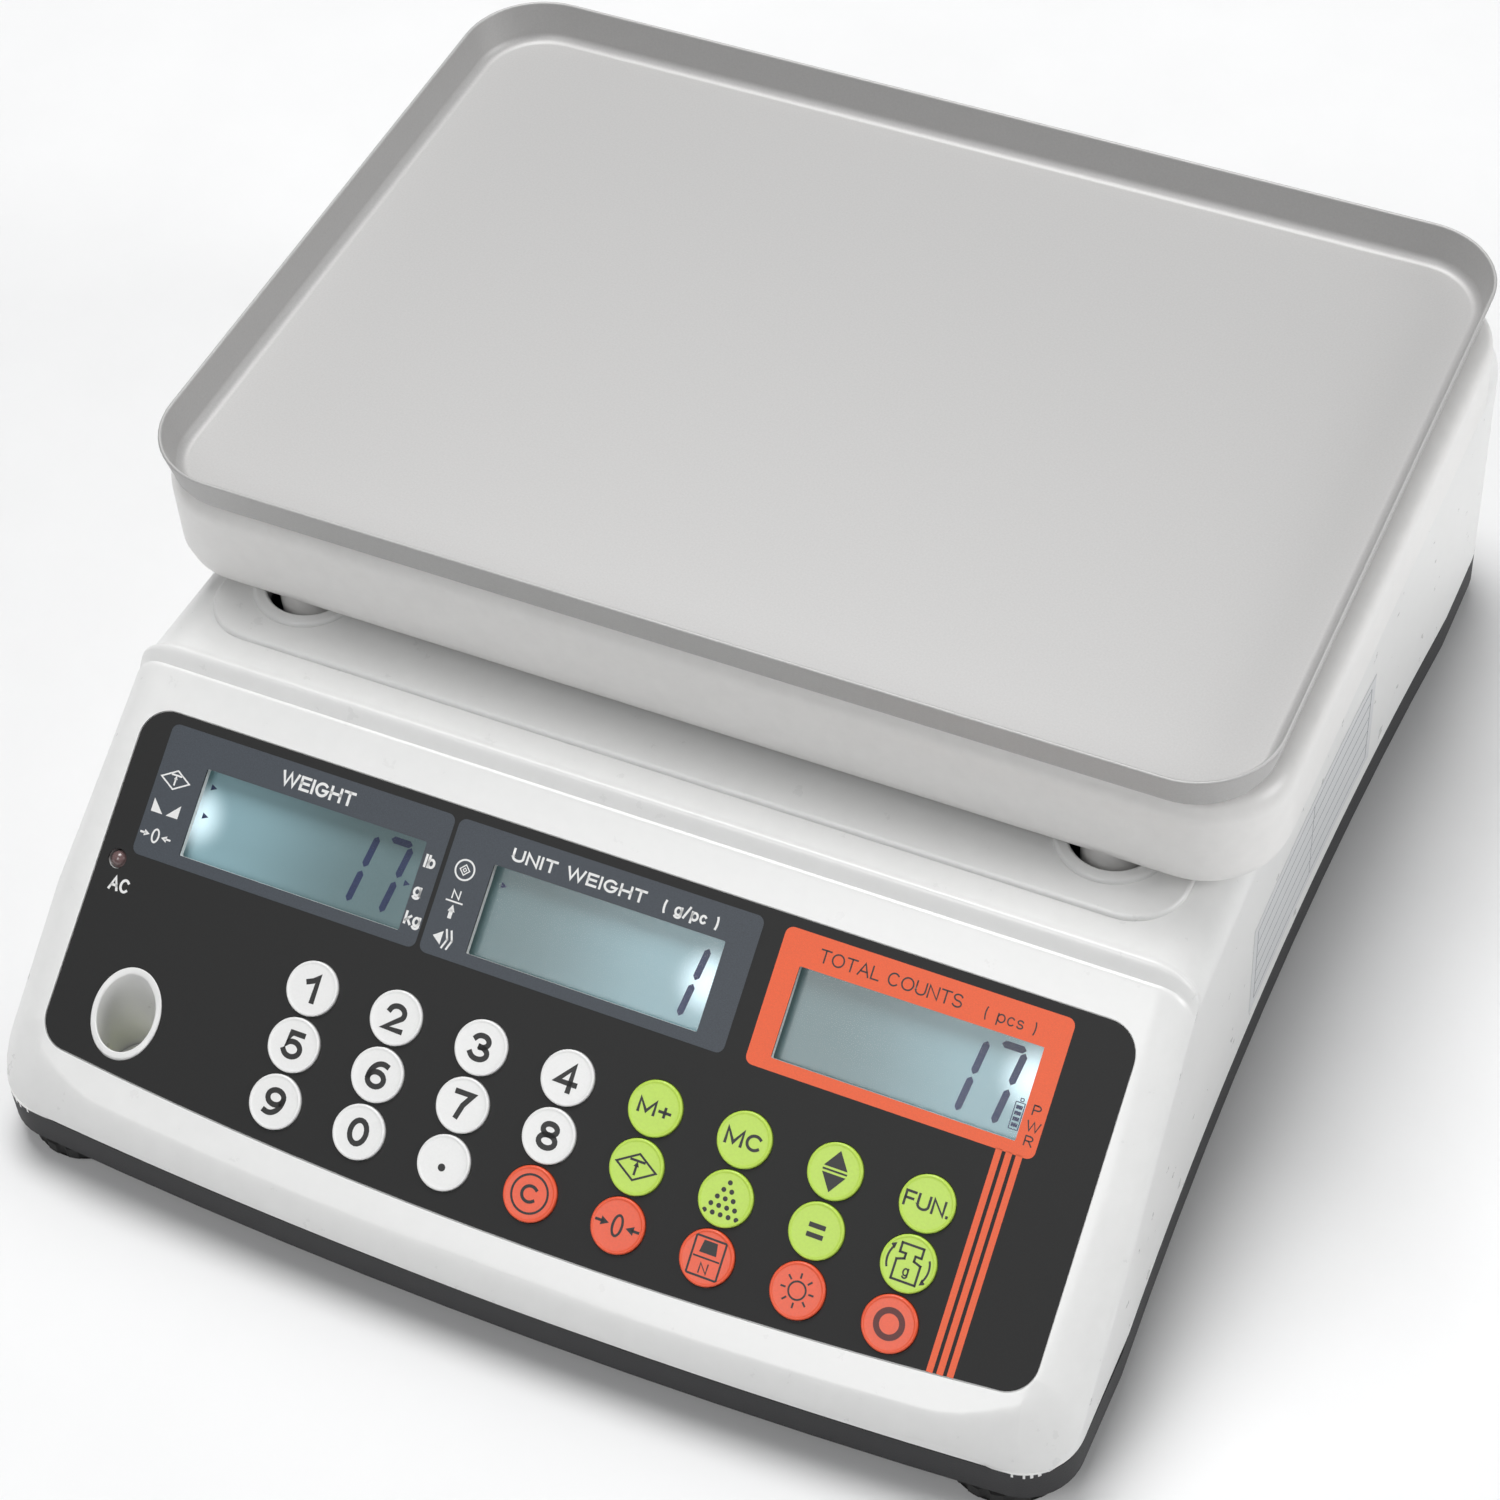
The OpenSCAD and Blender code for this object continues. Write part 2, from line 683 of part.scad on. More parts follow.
module main_board() {
    color("seagreen")
    translate([main_x, main_y, main_z]) {
        translate([-main_w / 2, -main_d / 2, 0]) cube([main_w, main_d, 1.6]);
        translate([-8, -10, 1.5]) cube([14, 14, 2]);
        translate([10, 14, 1.5]) cube([9, 14, 2.2]);
        translate([-20, 22, 1.5]) cylinder(h = 10, r = 4);
        translate([-20, 8, 1.5]) cylinder(h = 9, r = 5);
        translate([14, -20, 1.5]) cylinder(h = 7, r = 6);
        translate([-24, -32, 1.5]) cube([26, 6, 8]);
    }
}

// Display module behind window number k
module lcd(k) {
    color("cadetblue")
    on_panel() translate([window_x[k], -window_v, board_n])
        linear_extrude(lcd_h) square([window_w + 8, window_h + 8], center = true);
}

module display_windows() {
    color("lightcyan", 0.4)
    on_panel() translate([0, 0, -wall - window_t]) linear_extrude(window_t)
        at_windows() square([window_w + 2 * lip, window_h + 2 * lip], center = true);
}

module keypad_overlay() {
    color("dimgray")
    difference() {
        on_panel() translate([0, 0, -overlay_t]) linear_extrude(overlay_t) difference() {
            overlay_outline();
            at_windows() square([window_w, window_h], center = true);
            at_keys() circle(key_r + key_gap);
            translate([lamp_x, -lamp_v]) circle(lamp_r + key_gap);
        }
        at_tube(0, far, tube_r + 0.1);
    }
}

module key_switches() {
    color("gray")
    on_panel() at_keys() translate([0, 0, board_n]) {
        linear_extrude(switch_h) square([6, 6], center = true);
        cylinder(h = switch_h + plunger_h, r = plunger_r);
    }
}

module mains_lamp() {
    color("darkred")
    on_panel() translate([lamp_x, -lamp_v, board_n]) {
        cylinder(h = -board_n - lamp_r + 0.5, r = lamp_r);
        translate([0, 0, -board_n - lamp_r + 0.5]) intersection() {
            sphere(lamp_r);
            cylinder(h = lamp_r, r = lamp_r);
        }
    }
}

module level_vial() {
    color("yellowgreen")
    at_tube(vial_z, vial_h, tube_bore - vial_gap);
}

module battery() {
    color("dimgray")
    translate([0, battery_y, floor_z]) {
        translate([-battery_w / 2, -battery_d / 2, 0]) cube([battery_w, battery_d, battery_h]);
        for (s = [-1, 1]) translate([s * 36, 20, battery_h - eps]) cube([5, 1, 6]);
    }
}

// Snap-in door, held by tongues in slots of the battery bay
module battery_door() {
    color("black")
    translate([0, battery_y, base_z]) {
        linear_extrude(floor_t) square([2 * (bay_x - door_gap), 2 * (bay_y - door_gap)], center = true);
        for (sx = [-1, 1], sy = [-1, 1])
            translate([sx * bay_x, sy * tongue_y, floor_t + tongue_t / 2 - eps])
                cube([tongue_l, tongue_w, tongue_t + eps], center = true);
    }
}

module power_inlet() {
    color("black")
    translate([inlet_x, body_d / 2 - wall, inlet_z]) difference() {
        union() {
            translate([-inlet_w / 2, -inlet_d, -5.5]) cube([inlet_w, inlet_d - 0.05, 11]);
            translate([0, -1, 0]) rotate([-90, 0, 0]) cylinder(h = wall + 0.6, r = 4.3);
        }
        difference() {
            translate([0, -10, 0]) rotate([-90, 0, 0]) cylinder(h = 20, r = inlet_r);
            translate([0, -11, 0]) rotate([-90, 0, 0]) cylinder(h = 11, r = 1);
        }
    }
}

// Cuts the corners of a route, keeping its two ends
function eased(p) = concat([p[0]],
    [for (i = [0:len(p) - 2], f = [0.25, 0.75]) p[i] * (1 - f) + p[i + 1] * f], [p[len(p) - 1]]);
function unit(v) = v / norm(v);
function across(t) = unit(cross(t, abs(t[2]) < 0.9 ? [0, 0, 1] : [1, 0, 0]));

// Round lead along a route, eight-sided
module lead(route) {
    p = eased(eased(route));
    n = len(p);
    sides = 8;
    t = [for (i = [0:n - 1]) unit(p[min(i + 1, n - 1)] - p[max(i - 1, 0)])];
    rings = [for (i = [0:n - 1], k = [0:sides - 1])
             let (u = across(t[i]), a = k * 360 / sides)
             p[i] + lead_r * (cos(a) * u + sin(a) * cross(t[i], u))];
    walls = [for (i = [0:n - 2], k = [0:sides - 1]) let (m = (k + 1) % sides)
             [i * sides + k, i * sides + m, (i + 1) * sides + m, (i + 1) * sides + k]];
    ends = [[for (k = [sides - 1:-1:0]) k], [for (k = [0:sides - 1]) (n - 1) * sides + k]];
    polyhedron(rings, concat(walls, ends));
}

// Ends of the leads on the pieces that they join
cell_exit = [-cell_l / 2 - lead_r, pan_y, cell_z + 12];
main_front = main_y - main_d / 2 - lead_r;
main_left = main_x - main_w / 2;
bay_front = battery_y - battery_d / 2 - battery_gap - bay_t - 5;
low_z = floor_z + 6;
plug_z = main_z + 5;
battery_top = floor_z + battery_h + 4;
ribbon_v = 60;
ribbon_y = ridge_y - ribbon_v * cos(panel_slope) - (board_n - board_t - 2 * lead_r) * sin(panel_slope);
ribbon_z = deck_z - ribbon_v * sin(panel_slope) + (board_n - board_t - 2 * lead_r) * cos(panel_slope);
module wiring() {
    color("firebrick") {
        lead([cell_exit, [-cell_l / 2 - 8, pan_y, cell_z + 8], [-cell_l / 2 - 8, battery_y, low_z],
              [-cell_l / 2 - 8, bay_front, low_z], [main_left + 2, bay_front, low_z],
              [main_left + 2, main_front, plug_z]]);
        lead([[36, battery_y + 17, battery_top], [battery_w / 2 + 7, battery_y + 17, battery_top],
              [battery_w / 2 + 8, battery_y - 2, plug_z], [main_left + 4, battery_y - 8, plug_z]]);
        lead([[inlet_x, body_d / 2 - wall - inlet_d - lead_r, inlet_z],
              [inlet_x - 20, body_d / 2 - 30, low_z + 2], [inlet_x - 18, pan_y, low_z + 2],
              [inlet_x - 10, battery_y, low_z], [inlet_x, bay_front - 5, low_z],
              [main_left + 10, bay_front - 5, low_z], [main_left + 10, main_front, plug_z]]);
        lead([[main_left + 24, main_front, plug_z + 2], [main_left + 24, main_front - 12, plug_z + 14],
              [main_left + 24, ribbon_y, ribbon_z]]);
    }
}

module housing_screws() {
    color("dimgray")
    for (p = POSTS) translate([p[0], p[1], base_z + screw_sink]) {
        difference() {
            cylinder(h = screw_head_h, r = screw_head_r);
            for (a = [0, 90]) rotate(a) translate([-2.2, -0.5, -1]) cube([4.4, 1, 2.4]);
        }
        cylinder(h = screw_l - 3, r = screw_r);
    }
}

// Round key cap on its stem, with an ear each side that stops it coming out
module key_cap(k) {
    i = floor(k / 8);
    j = k % 8;
    digit = i < 2 ? j < 4 : j < 3;
    alarm = i == 2 && j > 2;
    color(digit ? "white" : alarm ? "orangered" : "yellowgreen")
    on_panel() translate([-key_first_x + j * key_pitch_x, -key_first_v - i * key_pitch_y, 0]) {
        translate([0, 0, -key_skirt]) cylinder(h = key_skirt + key_proud - 0.4, r = key_r);
        translate([0, 0, key_proud - 0.4 - eps]) cylinder(h = 0.4 + eps, r1 = key_r, r2 = key_r - 0.5);
        translate([0, 0, -wall - 1.5 * ear_t]) linear_extrude(ear_t)
            square([2 * (key_r + ear_out), 5], center = true);
        translate([0, 0, board_n + switch_h + plunger_h + key_travel + 0.2])
            cylinder(h = -board_n - switch_h - plunger_h - key_travel - 0.2 - key_skirt + eps, r = stem_r);
    }
}

module foot_stud(k) {
    p = FOOT_AT[k];
    color("silver")
    translate([p[0], p[1], stud_bottom + 0.1]) cylinder(h = stud_top - stud_bottom, r = stud_r);
}

module foot_pad(k) {
    p = FOOT_AT[k];
    grip_n = 16;
    color("black")
    translate([p[0], p[1], 0]) difference() {
        union() {
            cylinder(h = 1.5, r1 = foot_r - 1.5, r2 = foot_r);
            translate([0, 0, 1.5]) cylinder(h = 3.5, r = foot_r);
            translate([0, 0, 5]) cylinder(h = foot_h - 5, r1 = foot_r, r2 = foot_r - 6);
        }
        for (i = [0:grip_n - 1]) rotate(i * 360 / grip_n)
            translate([foot_r + 1.2, 0, 1.2]) cylinder(h = foot_h, r = 2);
        translate([0, 0, stud_bottom]) cylinder(h = foot_h, r = stud_r + stud_gap);
    }
}

upper_housing();
bottom_tray();
steel_pan();
pan_carrier();
pan_pads();
spider_bracket();
spider_cups();
load_cell();
cell_spacer();
cell_bolts_lower();
cell_bolts_upper();
base_plate();
overload_stops();
front_board();
main_board();
lcd(0);  // lcd_weight
lcd(1);  // lcd_unit_weight
lcd(2);  // lcd_total
display_windows();
keypad_overlay();
key_switches();
mains_lamp();
level_vial();
battery();
battery_door();
power_inlet();
wiring();
housing_screws();
for (k = [0:len(KEYS) - 1]) key_cap(k);
for (k = [0:len(FEET) - 1]) {
    foot_stud(k);
    foot_pad(k);
}
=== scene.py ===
import json
import math

import bpy
from mathutils import Matrix, Vector


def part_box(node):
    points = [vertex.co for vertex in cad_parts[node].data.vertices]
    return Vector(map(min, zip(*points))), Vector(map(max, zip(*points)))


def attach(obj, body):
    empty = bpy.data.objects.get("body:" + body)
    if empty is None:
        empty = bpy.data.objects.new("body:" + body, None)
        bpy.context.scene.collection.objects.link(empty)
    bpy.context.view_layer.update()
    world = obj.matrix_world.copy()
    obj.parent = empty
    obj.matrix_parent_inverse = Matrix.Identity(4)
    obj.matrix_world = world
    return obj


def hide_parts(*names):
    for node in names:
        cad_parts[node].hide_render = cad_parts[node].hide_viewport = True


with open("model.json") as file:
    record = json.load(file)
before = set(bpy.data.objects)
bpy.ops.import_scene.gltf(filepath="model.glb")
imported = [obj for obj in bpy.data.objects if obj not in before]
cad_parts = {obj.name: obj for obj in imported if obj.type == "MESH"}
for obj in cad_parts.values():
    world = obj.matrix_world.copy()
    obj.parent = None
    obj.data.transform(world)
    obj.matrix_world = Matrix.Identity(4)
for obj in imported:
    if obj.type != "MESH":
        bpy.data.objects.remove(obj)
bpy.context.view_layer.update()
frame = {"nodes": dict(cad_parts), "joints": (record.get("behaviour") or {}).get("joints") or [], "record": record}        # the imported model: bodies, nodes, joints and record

# The counting scale's looks. Lengths are in millimetres until a mesh is made; u runs to the
# right on the control panel, v down its slope from the ridge, and n out of it.
MM = 0.001
JOINT_AXIS = {joint["name"]: joint["axis"] for joint in frame["joints"]}
SLOT = {part["node"]: part["material_slot"] for part in frame["record"]["subparts"]}


def corners(node):
    """Lowest and highest corner of a CAD node, in millimetres."""
    low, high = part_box(node)
    return low / MM, high / MM


def middle(node):
    low, high = corners(node)
    return (low + high) / 2


# --- Places taken from the frame -------------------------------------------------------------
PRESS = JOINT_AXIS["key_1_press"]
SLOPE = math.atan2(PRESS[1], -PRESS[2])
SIN, COS = math.sin(SLOPE), math.cos(SLOPE)
OVERLAY_T = 0.5
OVERLAY_TOP = 15.9
OVERLAY_HIGH = corners("keypad_overlay")[1]
DECK_Z = OVERLAY_HIGH.z + OVERLAY_TOP * SIN
RIDGE_Y = OVERLAY_HIGH.y - OVERLAY_T * SIN + OVERLAY_TOP * COS
TRAY_LOW, TRAY_HIGH = corners("bottom_tray")
BODY_W = TRAY_HIGH.x - TRAY_LOW.x
BODY_D = TRAY_HIGH.y - TRAY_LOW.y
BAND_TOP = 18.0
PAN_LOW, PAN_HIGH = corners("steel_pan")
PAN_Y = (PAN_LOW.y + PAN_HIGH.y) / 2
CARRIER_LOW, CARRIER_HIGH = corners("pan_carrier")
CUP = middle("spider_cups")
LEG_R = 8.0
CUP_R = 13.0
LEG_X = corners("spider_cups")[1].x - CUP_R
LEG_Y = corners("spider_cups")[1].y - CUP_R - PAN_Y
LEGS = [(sx * LEG_X, PAN_Y + sy * LEG_Y) for sx in (-1, 1) for sy in (-1, 1)]
TUBE = middle("level_vial")
KEY_R = 6.8
KEY_PROUD = 0.9
WALL = 2.6


def panel(u, v, n=0.0):
    """Point on the control panel, in millimetres."""
    return Vector((u, RIDGE_Y - v * COS - n * SIN, DECK_Z - v * SIN + n * COS))


def panel_place(u, v, n=0.0):
    """Matrix from a flat drawing in millimetres, y up the slope, to the panel in metres."""
    turn = Matrix(((1, 0, 0), (0, COS, -SIN), (0, SIN, COS))).to_4x4()
    return Matrix.Translation(panel(u, v, n) * MM) @ turn @ Matrix.Scale(MM, 4)


def on_panel(point):
    """u, v and n of a point in millimetres."""
    dy, dz = point.y - RIDGE_Y, point.z - DECK_Z
    return point.x, -dy * COS - dz * SIN, -dy * SIN + dz * COS


# --- Camera ------------------------------------------------------------------------------------
CAMERA_AZIMUTH, CAMERA_ELEVATION, CAMERA_ROLL = map(math.radians, (25.613, 46.455, -2.650))
CAMERA_DISTANCE = 0.98485
CAMERA_TARGET = Vector((0.0, 0.046, 0.060))


def make_camera():
    out = Vector((math.sin(CAMERA_AZIMUTH) * math.cos(CAMERA_ELEVATION),
                  -math.cos(CAMERA_AZIMUTH) * math.cos(CAMERA_ELEVATION),
                  math.sin(CAMERA_ELEVATION)))
    level = Vector((math.cos(CAMERA_AZIMUTH), math.sin(CAMERA_AZIMUTH), 0))
    steep = out.cross(level)
    right = math.cos(CAMERA_ROLL) * level + math.sin(CAMERA_ROLL) * steep
    up = out.cross(right)
    data = bpy.data.cameras.new("camera")
    data.sensor_width = 36
    data.lens = 88.40
    data.shift_x = -0.06407
    data.shift_y = -0.12027
    data.clip_start, data.clip_end = 0.05, 50
    camera = bpy.data.objects.new("camera", data)
    bpy.context.scene.collection.objects.link(camera)
    place = Matrix((right, up, out)).transposed().to_4x4()
    place.translation = CAMERA_TARGET + CAMERA_DISTANCE * out
    camera.matrix_world = place
    bpy.context.scene.camera = camera


# --- Materials ---------------------------------------------------------------------------------
def node(tree, kind, **values):
    made = tree.nodes.new(kind)
    for name, value in values.items():
        setattr(made, name, value)
    return made


def surface(name, color, rough=0.4, spread=0.06, rough_spread=0.08, size=1.5, stretch=(1, 1, 1),
            grain=0.0, grain_size=0.25, wear=0.0, **sockets):
    """A procedural finish: colour and roughness vary in patches of size mm, and the surface has
    a grain this many mm deep. stretch lengthens the pattern along an axis, and wear lightens
    edges."""
    material = bpy.data.materials.new(name)
    material.use_nodes = True
    tree = material.node_tree
    shader = tree.nodes["Principled BSDF"]
    link = tree.links.new
    place = node(tree, "ShaderNodeTexCoord")
    scale = node(tree, "ShaderNodeMapping")
    scale.inputs["Scale"].default_value = [1 / s for s in stretch]
    link(place.outputs["Object"], scale.inputs["Vector"])
    patches = node(tree, "ShaderNodeTexNoise")
    patches.inputs["Scale"].default_value = 1 / (size * MM)
    patches.inputs["Detail"].default_value = 6
    patches.inputs["Roughness"].default_value = 0.6
    link(scale.outputs["Vector"], patches.inputs["Vector"])
    tone = node(tree, "ShaderNodeValToRGB")
    tone.color_ramp.elements[0].position = 0.3
    tone.color_ramp.elements[1].position = 0.7
    tone.color_ramp.elements[0].color = [c * (1 - spread) for c in color[:3]] + [1]
    tone.color_ramp.elements[1].color = [min(1, c * (1 + spread)) for c in color[:3]] + [1]
    link(patches.outputs["Fac"], tone.inputs["Fac"])
    base = tone.outputs["Color"]
    if wear:
        edge = node(tree, "ShaderNodeNewGeometry")
        band = node(tree, "ShaderNodeMapRange")
        band.inputs["From Min"].default_value = 0.45
        band.inputs["From Max"].default_value = 0.60
        band.inputs["To Max"].default_value = wear
        link(edge.outputs["Pointiness"], band.inputs["Value"])
        mix = node(tree, "ShaderNodeMix", data_type="RGBA")
        mix.inputs["B"].default_value = [min(1, c + 0.35) for c in color[:3]] + [1]
        link(band.outputs["Result"], mix.inputs["Factor"])
        link(base, mix.inputs["A"])
        base = mix.outputs["Result"]
    link(base, shader.inputs["Base Color"])
    gloss = node(tree, "ShaderNodeMapRange")
    gloss.inputs["To Min"].default_value = max(0.02, rough - rough_spread)
    gloss.inputs["To Max"].default_value = min(1, rough + rough_spread)
    link(patches.outputs["Fac"], gloss.inputs["Value"])
    link(gloss.outputs["Result"], shader.inputs["Roughness"])
    if grain:
        fine = node(tree, "ShaderNodeTexNoise")
        fine.inputs["Scale"].default_value = 1 / (grain_size * MM)
        fine.inputs["Detail"].default_value = 3
        link(scale.outputs["Vector"], fine.inputs["Vector"])
        bump = node(tree, "ShaderNodeBump")
        bump.inputs["Distance"].default_value = grain * MM
        link(fine.outputs["Fac"], bump.inputs["Height"])
        link(bump.outputs["Normal"], shader.inputs["Normal"])
    for socket, value in sockets.items():
        shader.inputs[socket.replace("_", " ")].default_value = value
    return material


def painted_glow_display_glass(name, painted_glow_u, painted_glow_v):
    """Display glass: grey-green, with a painted glow and a painted lighter wash around the point
    given as u, v on the panel, and deeper in colour away from it.
    """
    material = surface(name, (0.13, 0.20, 0.215), rough=0.22, spread=0.05, size=0.6, grain=0.002,
                       Coat_Weight=0.3, Coat_Roughness=0.08)
    tree = material.node_tree
    shader = tree.nodes["Principled BSDF"]
    link = tree.links.new
    place = node(tree, "ShaderNodeTexCoord")

    def nearness(reach):
        away = node(tree, "ShaderNodeVectorMath", operation="DISTANCE")
        link(place.outputs["Object"], away.inputs[0])
        away.inputs[1].default_value = panel(painted_glow_u, painted_glow_v, -4) * MM
        near = node(tree, "ShaderNodeMapRange", interpolation_type="SMOOTHERSTEP")
        near.inputs["From Min"].default_value = 0
        near.inputs["From Max"].default_value = reach * MM
        near.inputs["To Min"].default_value = 1
        near.inputs["To Max"].default_value = 0
        link(away.outputs["Value"], near.inputs["Value"])
        return near.outputs["Result"]

    old = shader.inputs["Base Color"].links[0].from_socket
    # painted light: the glass's base colour is washed lighter near the bright end
    painted_light_wash = node(tree, "ShaderNodeMix", data_type="RGBA")
    painted_light_wash.inputs["B"].default_value = (0.30, 0.48, 0.54, 1)
    link(nearness(58), painted_light_wash.inputs["Factor"])
    link(old, painted_light_wash.inputs["A"])
    link(painted_light_wash.outputs["Result"], shader.inputs["Base Color"])
    # painted glow: emission that is bright near that end and faint over the rest of the glass
    painted_glow_spot = node(tree, "ShaderNodeMix", data_type="RGBA")
    painted_glow_spot.inputs["A"].default_value = (0.03, 0.05, 0.05, 1)
    painted_glow_spot.inputs["B"].default_value = (0.80, 0.95, 1.0, 1)
    link(nearness(11), painted_glow_spot.inputs["Factor"])
    link(painted_glow_spot.outputs["Result"], shader.inputs["Emission Color"])
    shader.inputs["Emission Strength"].default_value = 0.9
    return material


MATERIALS = {
    "housing": surface("white_plastic", (0.83, 0.83, 0.82), rough=0.30, spread=0.015, size=6,
                       grain=0.006, grain_size=0.5, Coat_Weight=0.15, Coat_Roughness=0.2),
    "base": surface("black_plastic", (0.016, 0.016, 0.018), rough=0.62, spread=0.35, size=0.5,
                    grain=0.06, grain_size=0.45),
    "pan": surface("satin_steel", (0.48, 0.475, 0.47), rough=0.52, spread=0.05, rough_spread=0.05,
                   size=0.5, stretch=(1, 1, 1), grain=0.002, grain_size=0.4, Metallic=0.35),
    "carrier": surface("grey_plastic", (0.85, 0.84, 0.825), rough=0.33, spread=0.02, size=5,
                       grain=0.006, grain_size=0.5, Coat_Weight=0.1, Coat_Roughness=0.25),
    "rubber": surface("black_rubber", (0.018, 0.018, 0.018), rough=0.75, spread=0.3, size=0.8,
                      grain=0.03, grain_size=0.3),
    "cast_alloy": surface("cast_alloy", (0.58, 0.59, 0.60), rough=0.5, spread=0.1, size=0.8,
                          grain=0.04, grain_size=0.5, Metallic=1.0),
    "cell_alloy": surface("machined_alloy", (0.72, 0.73, 0.75), rough=0.3, spread=0.05, size=0.4,
                          stretch=(12, 1, 1), grain=0.004, Metallic=1.0),
    "steel": surface("zinc_steel", (0.55, 0.57, 0.58), rough=0.42, spread=0.18, size=9,
                     grain=0.004, Metallic=1.0),
    "fastener": surface("plated_steel", (0.5, 0.5, 0.5), rough=0.28, spread=0.1, size=0.6,
                        grain=0.004, Metallic=1.0),
    "board": surface("circuit_board", (0.02, 0.13, 0.05), rough=0.35, spread=0.25, size=1.2,
                     grain=0.01, Coat_Weight=0.3),
    "window": surface("clear_pane", (0.03, 0.04, 0.04), rough=0.06, spread=0.0, rough_spread=0.02,
                      Alpha=0.06, Coat_Weight=0.1),
    "overlay": surface("charcoal_sheet", (0.006, 0.006, 0.006), rough=0.6, spread=0.5, size=0.25,
                       grain=0.012, grain_size=0.3),
    "switch": surface("switch_plastic", (0.06, 0.06, 0.06), rough=0.45, spread=0.2, size=0.6),
    "lamp": surface("smoked_lamp", (0.16, 0.10, 0.10), rough=0.2, spread=0.2, size=0.5,
                    Coat_Weight=0.6),
    "vial": surface("level_liquid", (0.52, 0.60, 0.12), rough=0.12, spread=0.05, size=2,
                    Coat_Weight=0.5),
    "battery": surface("battery_case", (0.07, 0.07, 0.075), rough=0.5, spread=0.2, size=1.5,
                       grain=0.02),
    "wire": surface("lead_cover", (0.28, 0.03, 0.03), rough=0.45, spread=0.12, size=1.0,
                    grain=0.01),
    "key_white": surface("white_key", (0.84, 0.84, 0.83), rough=0.34, spread=0.02, size=0.6,
                         grain=0.004, Coat_Weight=0.1),
    "key_green": surface("lime_key", (0.50, 0.72, 0.085), rough=0.38, spread=0.04, size=0.6,
                         grain=0.004, Coat_Weight=0.1),
    "key_red": surface("red_key", (0.82, 0.10, 0.035), rough=0.38, spread=0.05, size=0.6,
                       grain=0.004, Coat_Weight=0.1),
}
INK = {
    "black": surface("black_ink", (0.012, 0.012, 0.012), rough=0.42, spread=0.3, size=0.4),
    "white": surface("white_ink", (0.80, 0.80, 0.79), rough=0.45, spread=0.03, size=0.4),
    "slate": surface("slate_ink", (0.050, 0.060, 0.074), rough=0.5, spread=0.25, size=0.25,
                     grain=0.008, grain_size=0.3),
    "orange": surface("orange_ink", (0.82, 0.105, 0.022), rough=0.42, spread=0.08, size=0.3,
                      grain=0.006, grain_size=0.3),
    "maroon": surface("maroon_ink", (0.10, 0.012, 0.01), rough=0.42, spread=0.2, size=0.4),
    "navy": surface("navy_segments", (0.020, 0.035, 0.115), rough=0.3, spread=0.2, size=0.4),
    "faint": surface("faint_segments", (0.16, 0.25, 0.30), rough=0.3, spread=0.1, size=0.4),
    "label": surface("label_film", (0.66, 0.67, 0.68), rough=0.35, spread=0.04, size=1.5),
    "grey": surface("grey_ink", (0.22, 0.23, 0.25), rough=0.5, spread=0.1, size=0.5),
}


# --- Meshes ------------------------------------------------------------------------------------
def bow_radius(half, rise):
    return (half * half + rise * rise) / (2 * rise)


def arc(cx, cy, r, start, stop, steps):
    """Points of an arc, angles in degrees, both ends included."""
    turns = [math.radians(start + (stop - start) * i / steps) for i in range(steps + 1)]
    return [(cx + r * math.cos(a), cy + r * math.sin(a)) for a in turns]


def make_object(name, points, faces, material, sharp=32, unit=MM):
    """A mesh object, smooth up to the sharp angle, from points in millimetres."""
    mesh = bpy.data.meshes.new(name)
    mesh.from_pydata([Vector(p) * unit for p in points], [], faces)
    mesh.validate()
    mesh.update()
    mesh.materials.append(material)
    made = bpy.data.objects.new(name, mesh)
    bpy.context.scene.collection.objects.link(made)
    smooth(made, sharp)
    return made


def smooth(piece, sharp=32):
    mesh = piece.data
    mesh.polygons.foreach_set("use_smooth", [True] * len(mesh.polygons))
    mesh.set_sharp_from_angle(angle=math.radians(sharp))


def weigh_normals(piece):
    """Keeps wide flat faces flat where they run into fillets."""
    made = piece.modifiers.new("weighted", "WEIGHTED_NORMAL")
    made.keep_sharp = True
    made.weight = 80


def skin(rings, closed=False, caps=(True, True)):
    """Points and faces between rings of equal length; closed joins the last ring to the first."""
    count = len(rings[0])
    points = [p for ring in rings for p in ring]
    last = len(rings) if closed else len(rings) - 1
    faces = []
    for k in range(last):
        a, b = k * count, ((k + 1) % len(rings)) * count
        for i in range(count):
            j = (i + 1) % count
            faces.append((a + i, a + j, b + j, b + i))
    if not closed and caps[0]:
        faces.append(tuple(range(count - 1, -1, -1)))
    if not closed and caps[1]:
        faces.append(tuple(range((len(rings) - 1) * count, len(rings) * count)))
    return points, faces


def rounded_rect(w, d, r, cx=0.0, cy=0.0, steps=10):
    r = max(r, 0.05)
    points = []
    for sx, sy, start in ((1, -1, -90), (1, 1, 0), (-1, 1, 90), (-1, -1, 180)):
        points += arc(cx + sx * (w / 2 - r), cy + sy * (d / 2 - r), r, start, start + 90, steps)
    return points


def box_rings(w, d, r, cx, cy, profile, steps=10):
    """Rings of a rounded box whose wall follows profile, a list of (inset, height)."""
    return [[(x, y, z)
             for x, y in rounded_rect(w - 2 * inset, d - 2 * inset, r - inset, cx, cy, steps)]
            for inset, z in profile]


def lathe(profile, cx=0.0, cy=0.0, steps=48, caps=(True, True), closed=False):
    """Points and faces of a turned solid; profile is a list of (radius, height)."""
    turns = [2 * math.pi * i / steps for i in range(steps)]
    rings = [[(cx + r * math.cos(a), cy + r * math.sin(a), z) for a in turns] for r, z in profile]
    return skin(rings, closed, caps)


def merge(parts):
    """One list of points and faces from several."""
    points, faces = [], []
    for more_points, more_faces in parts:
        start = len(points)
        points += list(more_points)
        faces += [tuple(start + i for i in face) for face in more_faces]
    return points, faces


